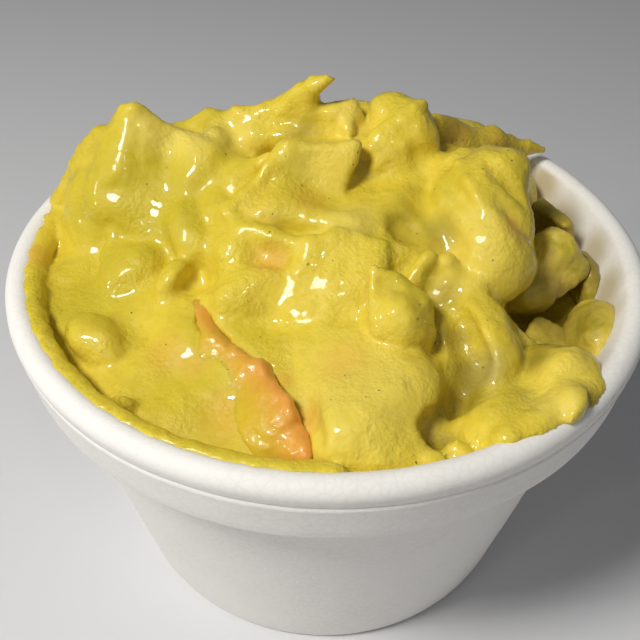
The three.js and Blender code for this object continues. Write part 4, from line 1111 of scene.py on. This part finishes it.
def sculpted_heap(cell):
    """The heap above the plain filling, with room for the pieces that it holds."""
    side = RIM_RADIUS + cell
    low, high = (-side, -side, HEAP_BOTTOM), (side, side, HEAP_TOP)
    clay = Clay(low, high, cell)
    x, y, z = clay.plain
    r = np.hypot(x, y)
    past_wall = r - inner_radius(z) - WALL_OVERLAP
    clay.values = smooth_max(z - FILL_LEVEL, past_wall, FILL_BLEND)
    for region in REGIONS:
        region(clay)
    clay.values = smooth_min(clay.values, np.maximum(z - LIP_FOOT, past_wall), FILL_BLEND)
    clay.values = np.maximum(clay.values, r - REACH)
    fitted(clay)
    held = Clay(low, high, cell)
    tomato_strip(held)
    film = FILM_RADIUS - np.hypot(x - FILM_CENTRE[0], y - FILM_CENTRE[1])
    held.values = np.maximum(held.values, film - FILM_LAP)
    for piece in (chunk_upper, chunk_middle, chunk_back, chunk_outer, chunk_side):
        piece(held)
    clay.values = smooth_max(clay.values, -held.values - HOLD, HOLD_BLEND)
    return clay


def filled_below(points, faces):
    """Closes the heap's open underside with the filling down to the cup's floor."""
    ends = {tuple(e) for e in edges_of(faces).tolist()}
    follow = {a: b for a, b in ends if (b, a) not in ends}
    loop = [next(iter(follow))]
    while follow[loop[-1]] != loop[0]:
        loop.append(follow[loop[-1]])
    if len(loop) != len(follow):
        raise RuntimeError("the heap's underside is not one closed loop")
    angles = np.arctan2(points[loop, 1], points[loop, 0])
    profile = inside_of_cup((*FILLING_HEIGHTS, FLOOR_CORNER))
    profile += arc(profile[-1][0] - FLOOR_ROUND, FLOOR_CORNER, FLOOR_ROUND, -15, -90, 5)
    rows = [loop]
    new_points = [points]
    for r, z in profile:
        first = len(points) + (len(rows) - 1) * len(loop)
        rows.append(list(range(first, first + len(loop))))
        level = np.full(len(loop), z)
        new_points.append(np.stack([r * np.cos(angles), r * np.sin(angles), level], axis=1))
    centre = len(points) + len(profile) * len(loop)
    new_points.append(np.array([[0, 0, FLOOR_THICKNESS]]))
    sides = []
    for upper, lower in zip(rows, rows[1:]):
        sides += [(upper[i], upper[i - 1], lower[i - 1], lower[i]) for i in range(len(loop))]
    caps = [(rows[-1][i], rows[-1][i - 1], centre) for i in range(len(loop))]
    return np.concatenate(new_points), faces.tolist() + sides + caps


# Where the heap's colour shifts: the paint, the centre, the radius and the paint's share. The deep olive
# patches are painted shade in the valleys, the creases and the pit.
PATCHES = (
    ("green", (-26.0, 2.0, 58.0), 12.0, 0.8),
    ("green", (-33.0, -13.0, 50.0), 8.0, 0.7),
    ("green", (-14.0, -27.0, 49.0), 9.0, 0.55),
    ("green", (-3.0, -2.0, 60.0), 5.0, 0.4),
    ("cream_and_sheen", (4.0, -30.0, 53.0), 8.0, 0.6),
    ("cream_and_sheen", (20.0, -8.0, 58.0), 6.0, 0.5),
    ("cream_and_sheen", (-1.0, 4.0, 65.0), 5.0, 0.4),
    ("cream_and_sheen", (28.0, -28.0, 52.0), 6.0, 0.4),
    ("orange", (-7.4, -11.0, 56.8), 2.4, 0.6),
    ("orange", (-9.0, -2.0, 58.5), 3.5, 0.2),
    ("orange", (-20.3, -21.9, 50.6), 2.6, 0.35),
    ("orange", (-2.5, -2.7, 61.1), 2.4, 0.3),
    ("orange", (1.9, -26.2, 53.7), 2.8, 0.35),
    ("orange", (-41.5, -3.5, 51.9), 2.2, 0.5),
    ("orange", (24.0, -7.0, 60.2), 1.9, 0.55),
    ("orange", (-11.4, -31.0, 48.8), 3.2, 0.36),
    ("orange", (-1.5, -33.1, 50.2), 1.8, 0.5),
    ("orange", (-5.2, -27.2, 51.0), 1.4, 0.4),
    ("orange", (-16.4, -24.0, 50.6), 2.0, 0.35),
    # Painted shade: the valleys beside the front and right lobes, the blob's crease and the pit.
    ("deep_tone_and_shade", (16.2, -19.6, 52.0), 2.2, 0.7),
    ("deep_tone_and_shade", (17.4, -23.7, 49.8), 2.6, 0.75),
    ("deep_tone_and_shade", (17.6, -27.0, 48.4), 2.2, 0.7),
    ("deep_tone_and_shade", (14.0, -29.6, 48.4), 2.2, 0.6),
    ("deep_tone_and_shade", (13.9, -34.2, 47.6), 2.0, 0.65),
    ("deep_tone_and_shade", (26.4, -22.4, 51.0), 2.0, 0.7),
    ("deep_tone_and_shade", (28.0, -19.2, 50.4), 2.2, 0.5),
    ("deep_tone_and_shade", (15.0, -5.6, 58.2), 2.4, 0.5),
    ("deep_tone_and_shade", (10.0, -4.8, 58.0), 3.0, 0.35),
    ("deep_tone_and_shade", (14.6, -14.4, 54.8), 2.2, 0.45),
    ("deep_tone_and_shade", (4.4, 5.4, 61.6), 1.6, 0.3),
    ("deep_tone_and_shade", (-4.4, 9.4, 64.6), 2.6, 0.4),
    ("deep_tone_and_shade", (33.0, -5.0, 42.0), 6.5, 0.9),
    # Painted shade on the drip's right side; painted highlight on its left side.
    ("deep_tone_and_shade", (31.4, -30.8, 52.0), 2.0, 0.65),
    ("cream_and_sheen", (26.6, -31.6, 53.0), 2.6, 0.6),
    ("deep_tone_and_shade", (27.2, -8.5, 48.5), 2.6, 0.7),
    # Painted sheen and highlights along the left crest, the back ridge and the plateau.
    ("cream_and_sheen", (-25.1, 7.4, 66.0), 3.0, 0.8),
    ("cream_and_sheen", (-19.5, 7.5, 64.4), 3.4, 0.8),
    ("cream_and_sheen", (-14.0, 10.0, 63.8), 3.4, 0.6),
    ("cream_and_sheen", (3.0, 11.0, 67.0), 3.0, 0.6),
    ("cream_and_sheen", (3.0, -6.0, 61.0), 3.4, 0.7),
    # Painted shade on the tail, in the dome's shade.
    ("brown_shade", (18.5, 16.2, 61.6), 3.0, 0.7),
    ("brown_shade", (25.5, 18.5, 57.0), 4.0, 0.6),
    ("grey", (19.6, -24.2, 51.6), 2.4, 0.8),
)


def guacamole_finish(heap):
    """Wet mashed avocado, streaked and patched, with painted shade and painted sheen among the patches,
    and a fine grain.
    """
    finish = Finish("Mashed Avocado")
    wide = finish.noise(11.0, 3.0)
    streak = finish.noise(4.5, 4.0, 0.6)
    fine = finish.noise(1.1, 3.0, 0.6)
    tone = finish.mix(heap.flesh, heap.green, wide.ramp(0.50, 0.72) * 0.7)
    tone = finish.mix(tone, heap.cream_and_sheen, streak.ramp(0.52, 0.74) * 0.45)
    tone = finish.mix(tone, heap.green, fine.ramp(0.54, 0.7) * 0.45)
    tone = finish.mix(tone, heap.cream_and_sheen, (1 - fine).ramp(0.56, 0.72) * 0.35)
    tone = patched(finish, tone, heap, PATCHES)
    wet = finish.noise(2.6, 2.0)
    grainy = finish.noise(8.0, 2.0).ramp(0.36, 0.6)
    grit = finish.noise(0.62, 2.0, 0.55) * (0.2 + 0.8 * grainy)
    relief = finish.height((finish.noise(2.2, 2.0, 0.5), 0.4, 0.5), (grit, 0.8, 0.27))
    finish.set(Base_Color=tone, Roughness=0.42 + 0.2 * wet, IOR=1.42, Specular_IOR_Level=0.4,
               Subsurface_Weight=0.22, Subsurface_Radius=(1.0, 0.75, 0.2), Subsurface_Scale=0.0011,
               Coat_Weight=0.45 + 0.5 * wet.ramp(0.42, 0.6), Coat_Roughness=0.055, Coat_IOR=1.38,
               Normal=relief)
    return finish


RELIEF_RISE = 3.0                   # the lumps grow to their full height over this much
RELIEF_RIM = 2.5                    # and grow lower over this width at the rim


class GUAC_OT_heap(bpy.types.Operator):
    """Sculpt the heap of guacamole, filled down to the cup's floor"""
    bl_idname = "guacamole.heap"
    bl_label = "Guacamole"

    def execute(self, context):
        heap = settings().heap
        clay = sculpted_heap(heap.cell / MM)
        points, faces = clay.skin()
        points = relaxed(points, faces)
        points, faces = filled_below(points, faces)
        piece = mesh_object("guacamole_heap", points, faces, guacamole_finish(heap))
        places = places_of(piece)
        above = np.clip((places[:, 2] - LIP_FOOT - 1) / RELIEF_RISE, 0, 1)
        inside = np.clip((REACH - np.hypot(places[:, 0], places[:, 1])) / RELIEF_RIM, 0, 1)
        lump, grit = lumps(places, 3.4, 1.0, 3), lumps(places, 1.2, 2.0, 2)
        relief = heap.lump / MM * lump + heap.grit / MM * grit
        swell(piece, relief * above * (0.35 + 0.65 * inside))
        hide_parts("guacamole")
        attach(piece, "root")
        return {"FINISHED"}


def chunk_object(name, node, slot, shape, low, high, cell, finish, lump):
    """One held piece, sculpted between two corners and a little lumpy."""
    clay = Clay(low, high, cell)
    shape(clay)
    fitted(clay)
    points, faces = clay.skin()
    piece = mesh_object(name, relaxed(points, faces), faces, finish)
    places = places_of(piece)
    broad, fine = lumps(places, 2.4, 4.0, 3), lumps(places, 0.9, 6.0, 2)
    swell(piece, lump * broad + 0.3 * lump * fine)
    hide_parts(node)
    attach(piece, "root")
    return piece


def tomato_finish(tomato):
    """Wet tomato flesh, under a film of guacamole on its low side."""
    finish = Finish("Wet Tomato")
    wide = finish.noise(5.0, 3.0)
    fibre = finish.noise(1.4, 4.0, 0.6)
    tone = finish.mix(tomato.flesh, tomato.deep_tone_and_shade, wide.ramp(0.45, 0.7) * 0.7)
    tone = finish.mix(tone, tomato.film, fibre.ramp(0.5, 0.75) * 0.4)
    tone = finish.mix(tone, tomato.film, finish.near(FILM_CENTRE, FILM_RADIUS + FILM_RUN, FILM_FADE))
    relief = finish.height((finish.noise(1.2, 3.0), 0.4, 0.35), (finish.noise(0.5, 2.0), 0.3, 0.12))
    finish.set(Base_Color=tone, Roughness=0.3 + 0.15 * wide, IOR=1.4, Subsurface_Weight=0.45,
               Subsurface_Radius=(1.0, 0.5, 0.2), Subsurface_Scale=0.002, Coat_Weight=0.7,
               Coat_Roughness=0.08, Coat_IOR=1.36, Normal=relief)
    return finish


TOMATO_CORNERS = (-22, -40, 44), (4, -10, 56)
TOMATO_LUMP = 0.22                  # height of the strip's lumps


class GUAC_OT_tomato(bpy.types.Operator):
    """Make the strip of tomato on the front slope"""
    bl_idname = "guacamole.tomato"
    bl_label = "Tomato Strip"

    def execute(self, context):
        tomato = settings().tomato
        chunk_object("tomato_strip", "tomato_piece", "tomato", tomato_strip, *TOMATO_CORNERS,
                     tomato.cell / MM, tomato_finish(tomato), TOMATO_LUMP)
        return {"FINISHED"}


# Where the chunks' colour shifts, as painted shade on their lower sides and in the pit: the paint, the
# centre, the radius and the paint's share.
CHUNK_PATCHES = (
    ("deep_tone_and_shade", (31.0, -5.4, 46.6), 3.4, 0.6),
    ("deep_tone_and_shade", (32.6, 9.0, 50.6), 5.0, 0.7),
    ("deep_tone_and_shade", (39.6, 1.6, 47.0), 4.0, 0.85),
    ("deep_tone_and_shade", (35.4, -10.2, 46.6), 4.0, 0.6),
    ("deep_tone_and_shade", (32.4, -8.6, 43.4), 3.0, 0.6),
)


def avocado_finish(avocado):
    """Wet, smooth avocado flesh, with painted shade low down."""
    finish = Finish("Avocado Flesh")
    wide = finish.noise(5.0, 3.0)
    fibre = finish.noise(1.6, 4.0, 0.6)
    tone = finish.mix(avocado.flesh, avocado.green, wide.ramp(0.42, 0.66))
    tone = finish.mix(tone, avocado.flesh, fibre.ramp(0.5, 0.7) * 0.4)
    tone = patched(finish, tone, avocado, CHUNK_PATCHES)
    relief = finish.height((finish.noise(1.6, 3.0), 0.4, 0.4), (finish.noise(0.6, 2.0), 0.4, 0.15))
    finish.set(Base_Color=tone, Roughness=0.38 + 0.2 * wide, IOR=1.42, Subsurface_Weight=0.3,
               Subsurface_Radius=(1.0, 0.8, 0.25), Subsurface_Scale=0.0015, Coat_Weight=0.6,
               Coat_Roughness=0.1, Coat_IOR=1.36, Normal=relief)
    return finish


CHUNK_LUMP = 0.25                   # height of a chunk's lumps
# Each chunk: its name, the node it stands for, its shape and the corners it is sculpted between.
CHUNKS = (
    ("avocado_upper", "avocado_chunk_upper", chunk_upper, (22, -12, 38), (44, 12, 58)),
    ("avocado_middle", "avocado_chunk_middle", chunk_middle, (24, -20, 36), (40, 0, 54)),
    ("avocado_back", "avocado_chunk_back", chunk_back, (26, 2, 38), (44, 22, 58)),
    ("avocado_outer", "avocado_chunk_outer", chunk_outer, (28, -22, 36), (45, 0, 54)),
    ("avocado_side", "avocado_chunk_side", chunk_side, (30, -6, 36), (44, 12, 54)),
)


class GUAC_OT_chunks(bpy.types.Operator):
    """Make the avocado chunks in the hollow at the right"""
    bl_idname = "guacamole.chunks"
    bl_label = "Avocado Chunks"

    def execute(self, context):
        avocado = settings().avocado
        finish = avocado_finish(avocado)
        for name, node, shape, low, high in CHUNKS:
            chunk_object(name, node, "avocado", shape, low, high, avocado.cell / MM, finish,
                         CHUNK_LUMP)
        return {"FINISHED"}


# ---------------------------------------------------------------- herb flecks
FLECK_LOWEST = 46.0                 # no flecks lie lower than this
FLECK_SLOPE = 0.15                  # nor on faces that look up less than this


def fleck_finish(flecks):
    """Olive herb, shaded from leaf to stalk."""
    finish = Finish("Chopped Herb")
    shade = finish.noise(0.8, 2.0)
    finish.set(Base_Color=finish.mix(flecks.leaf, flecks.stalk, shade), Roughness=0.5,
               Coat_Weight=0.4, Coat_Roughness=0.15)
    return finish


def fleck_tree(finish):
    """Scatters small flat flecks over the upward faces of a surface."""
    make = NodeMaker("Herb Flecks", [
        ("Density", "NodeSocketFloat", 16000.0), ("Size", "NodeSocketFloat", 0.34 * MM),
        ("Seed", "NodeSocketInt", 7)])

    def above(kind, limit):
        """Where the height of the input, a normal or a place, is more than the limit."""
        height = make.add("ShaderNodeSeparateXYZ", None, {0: make.add(kind)[0]})[2]
        return make.add("FunctionNodeCompare", {"data_type": "FLOAT", "operation": "GREATER_THAN"}, {
            0: height, 1: limit})[0]

    both = make.add("FunctionNodeBooleanMath", {"operation": "AND"}, {
        0: above("GeometryNodeInputNormal", FLECK_SLOPE),
        1: above("GeometryNodeInputPosition", FLECK_LOWEST * MM)})[0]
    points = make.add("GeometryNodeDistributePointsOnFaces", None, {
        "Mesh": make.inputs["Geometry"], "Selection": both, "Density": make.inputs["Density"],
        "Seed": make.inputs["Seed"]})
    ball = make.add("GeometryNodeMeshIcoSphere", None, {"Radius": 0.5, "Subdivisions": 1})["Mesh"]
    flat = make.add("GeometryNodeTransform", None, {"Geometry": ball, "Scale": (1.0, 0.55, 0.3)})[0]
    spin = make.add("FunctionNodeRandomValue", {"data_type": "FLOAT_VECTOR"}, {
        0: (-0.3, -0.3, 0.0), 1: (0.3, 0.3, math.tau), "Seed": 11})[0]
    turn = make.add("FunctionNodeRotateRotation", {"rotation_space": "LOCAL"}, {
        "Rotation": points["Rotation"],
        "Rotate By": make.add("FunctionNodeEulerToRotation", None, {0: spin})[0]})[0]
    grow = make.add("FunctionNodeRandomValue", {"data_type": "FLOAT"}, {2: 0.45, 3: 1.5, "Seed": 12})[1]
    instances = make.add("GeometryNodeInstanceOnPoints", None, {
        "Points": points["Points"], "Instance": flat, "Rotation": turn,
        "Scale": make.number("MULTIPLY", grow, make.inputs["Size"])})[0]
    make.finish(instances, finish)
    return make


class GUAC_OT_flecks(bpy.types.Operator):
    """Scatter flecks of chopped herb over the guacamole"""
    bl_idname = "guacamole.flecks"
    bl_label = "Herb Flecks"

    def execute(self, context):
        flecks = settings().flecks
        finish = fleck_finish(flecks)
        heap = bpy.data.objects["guacamole_heap"]
        base = linked("fleck_ground", heap.data.copy())
        mesh = fleck_tree(finish).applied_to(base, {
            "Density": flecks.density, "Size": flecks.size, "Seed": flecks.seed})
        bpy.data.objects.remove(base)
        mesh.name = "herb_flecks"
        piece = linked("herb_flecks", mesh)
        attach(piece, "root")
        return {"FINISHED"}


# ---------------------------------------------------------------- stage
CAMERA_PLACE = Vector((0.0, -110.109, 130.878)) * MM
CAMERA_AIM = Vector((-0.00679734, 0.76400268, -0.64517726))
CAMERA_ROLL = -1.034
CAMERA_LENS = 53.05
SENSOR = 36.0
CAMERA_RANGE = (0.01, 10.0)
FLOOR_HALF = 3000.0
WARM = (1.0, 0.985, 0.95)
COOL = (0.95, 0.97, 1.0)
# Each lamp: its name, place, aim, size, the setting of its power, its share of that, and its tint.
LAMPS = (
    ("key", (-180, -160, 380), (0, 0, 50), 110, "key", 1.0, WARM),
    ("lamp_0", (-330, -130, 175), (0, 0, 52), 30, "rake", 0.6, WARM),
    ("lamp_1", (-210, -290, 290), (0, 0, 52), 18, "rake", 0.2, WARM),
    ("lamp_2", (50, -210, 400), (0, 0, 52), 18, "rake", 0.2, WARM),
    ("fill", (120, -420, 260), (0, 0, 40), 420, "fill", 1.0, COOL),
)


def hang_lamp(name, place_mm, aim_mm, size_mm, power, tint):
    """Hangs a round soft lamp that shines at a point."""
    light = bpy.data.lights.new(name, "AREA")
    light.shape = "DISK"
    light.size, light.energy, light.color = size_mm * MM, power, tint
    lamp = linked(name, light)
    lamp.location = Vector(place_mm) * MM
    aim = Vector(aim_mm) - Vector(place_mm)
    lamp.rotation_mode = "QUATERNION"
    lamp.rotation_quaternion = aim.to_track_quat("-Z", "Y")


def light_room(scene, strength):
    """Even, slightly cool light from all round."""
    world = bpy.data.worlds.new("Room")
    scene.world = world
    world.use_nodes = True
    back = world.node_tree.nodes["Background"]
    back.inputs["Color"].default_value = (*COOL, 1.0)
    back.inputs["Strength"].default_value = strength


def place_camera(scene):
    """Places the camera that looks at the cup from the front, above it."""
    camera = bpy.data.cameras.new("camera")
    camera.lens, camera.sensor_width = CAMERA_LENS, SENSOR
    camera.clip_start, camera.clip_end = CAMERA_RANGE
    eye = linked("camera", camera)
    facing = CAMERA_AIM.to_track_quat("-Z", "Y").to_matrix()
    roll = Matrix.Rotation(math.radians(CAMERA_ROLL), 3, CAMERA_AIM)
    eye.matrix_world = Matrix.Translation(CAMERA_PLACE) @ (roll @ facing).to_4x4()
    scene.camera = eye


def floor_finish(tint):
    """Plain matt board."""
    finish = Finish("Floor")
    cloud = finish.noise(120.0, 2.0)
    finish.set(Base_Color=finish.mix(tint, [c * 0.97 for c in tint], cloud), Roughness=0.75,
               Specular_IOR_Level=0.3)
    return finish


class GUAC_OT_stage(bpy.types.Operator):
    """Lay the floor, hang the lights and place the camera"""
    bl_idname = "guacamole.stage"
    bl_label = "Stage"

    def execute(self, context):
        stage = settings().stage
        corners = [(x * FLOOR_HALF, y * FLOOR_HALF, 0) for x, y in ((-1, -1), (1, -1), (1, 1), (-1, 1))]
        floor = mesh_object("floor", corners, [(0, 1, 2, 3)], floor_finish(stage.floor))
        floor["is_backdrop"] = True
        for name, place, aim, size, power, share, tint in LAMPS:
            hang_lamp(name, place, aim, size, getattr(stage, power) * share, tint)
        light_room(context.scene, stage.sky)
        place_camera(context.scene)
        context.scene.view_settings.view_transform = "Standard"
        return {"FINISHED"}


# ---------------------------------------------------------------- add-on
class GuacamoleCupSettings(bpy.types.PropertyGroup):
    """All settings of the cup of guacamole."""
    cup: PointerProperty(type=CupSettings)
    heap: PointerProperty(type=HeapSettings)
    tomato: PointerProperty(type=TomatoSettings)
    avocado: PointerProperty(type=AvocadoSettings)
    flecks: PointerProperty(type=FleckSettings)
    stage: PointerProperty(type=StageSettings)


OPERATORS = (GUAC_OT_foam_cup, GUAC_OT_heap, GUAC_OT_tomato, GUAC_OT_chunks, GUAC_OT_flecks,
             GUAC_OT_stage)


class GUAC_PT_panel(bpy.types.Panel):
    """Lists the pieces of the cup of guacamole"""
    bl_idname = "GUAC_PT_panel"
    bl_label = "Guacamole Cup"
    bl_space_type = "VIEW_3D"
    bl_region_type = "UI"
    bl_category = "Guacamole"

    def draw(self, context):
        for operator in OPERATORS:
            self.layout.operator(operator.bl_idname)
        everything = context.scene.guacamole_cup
        for group in ("cup", "heap", "tomato", "avocado", "flecks", "stage"):
            box = self.layout.box()
            box.label(text=group.capitalize())
            part = getattr(everything, group)
            for name in part.__annotations__:
                box.prop(part, name)


CLASSES = (CupSettings, HeapSettings, TomatoSettings, AvocadoSettings, FleckSettings, StageSettings,
           GuacamoleCupSettings, *OPERATORS, GUAC_PT_panel)


def register():
    for cls in CLASSES:
        bpy.utils.register_class(cls)
    bpy.types.Scene.guacamole_cup = PointerProperty(type=GuacamoleCupSettings)


def unregister():
    del bpy.types.Scene.guacamole_cup
    for cls in reversed(CLASSES):
        bpy.utils.unregister_class(cls)


def main():
    register()
    bpy.ops.guacamole.stage()
    bpy.ops.guacamole.foam_cup()
    bpy.ops.guacamole.heap()
    bpy.ops.guacamole.tomato()
    bpy.ops.guacamole.chunks()
    bpy.ops.guacamole.flecks()
    boxes = {"cad": CAD_BOX, "visual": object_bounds()}
    {name: [list(corner) for corner in box] for name, box in boxes.items()}


if __name__ == "__main__":
    main()
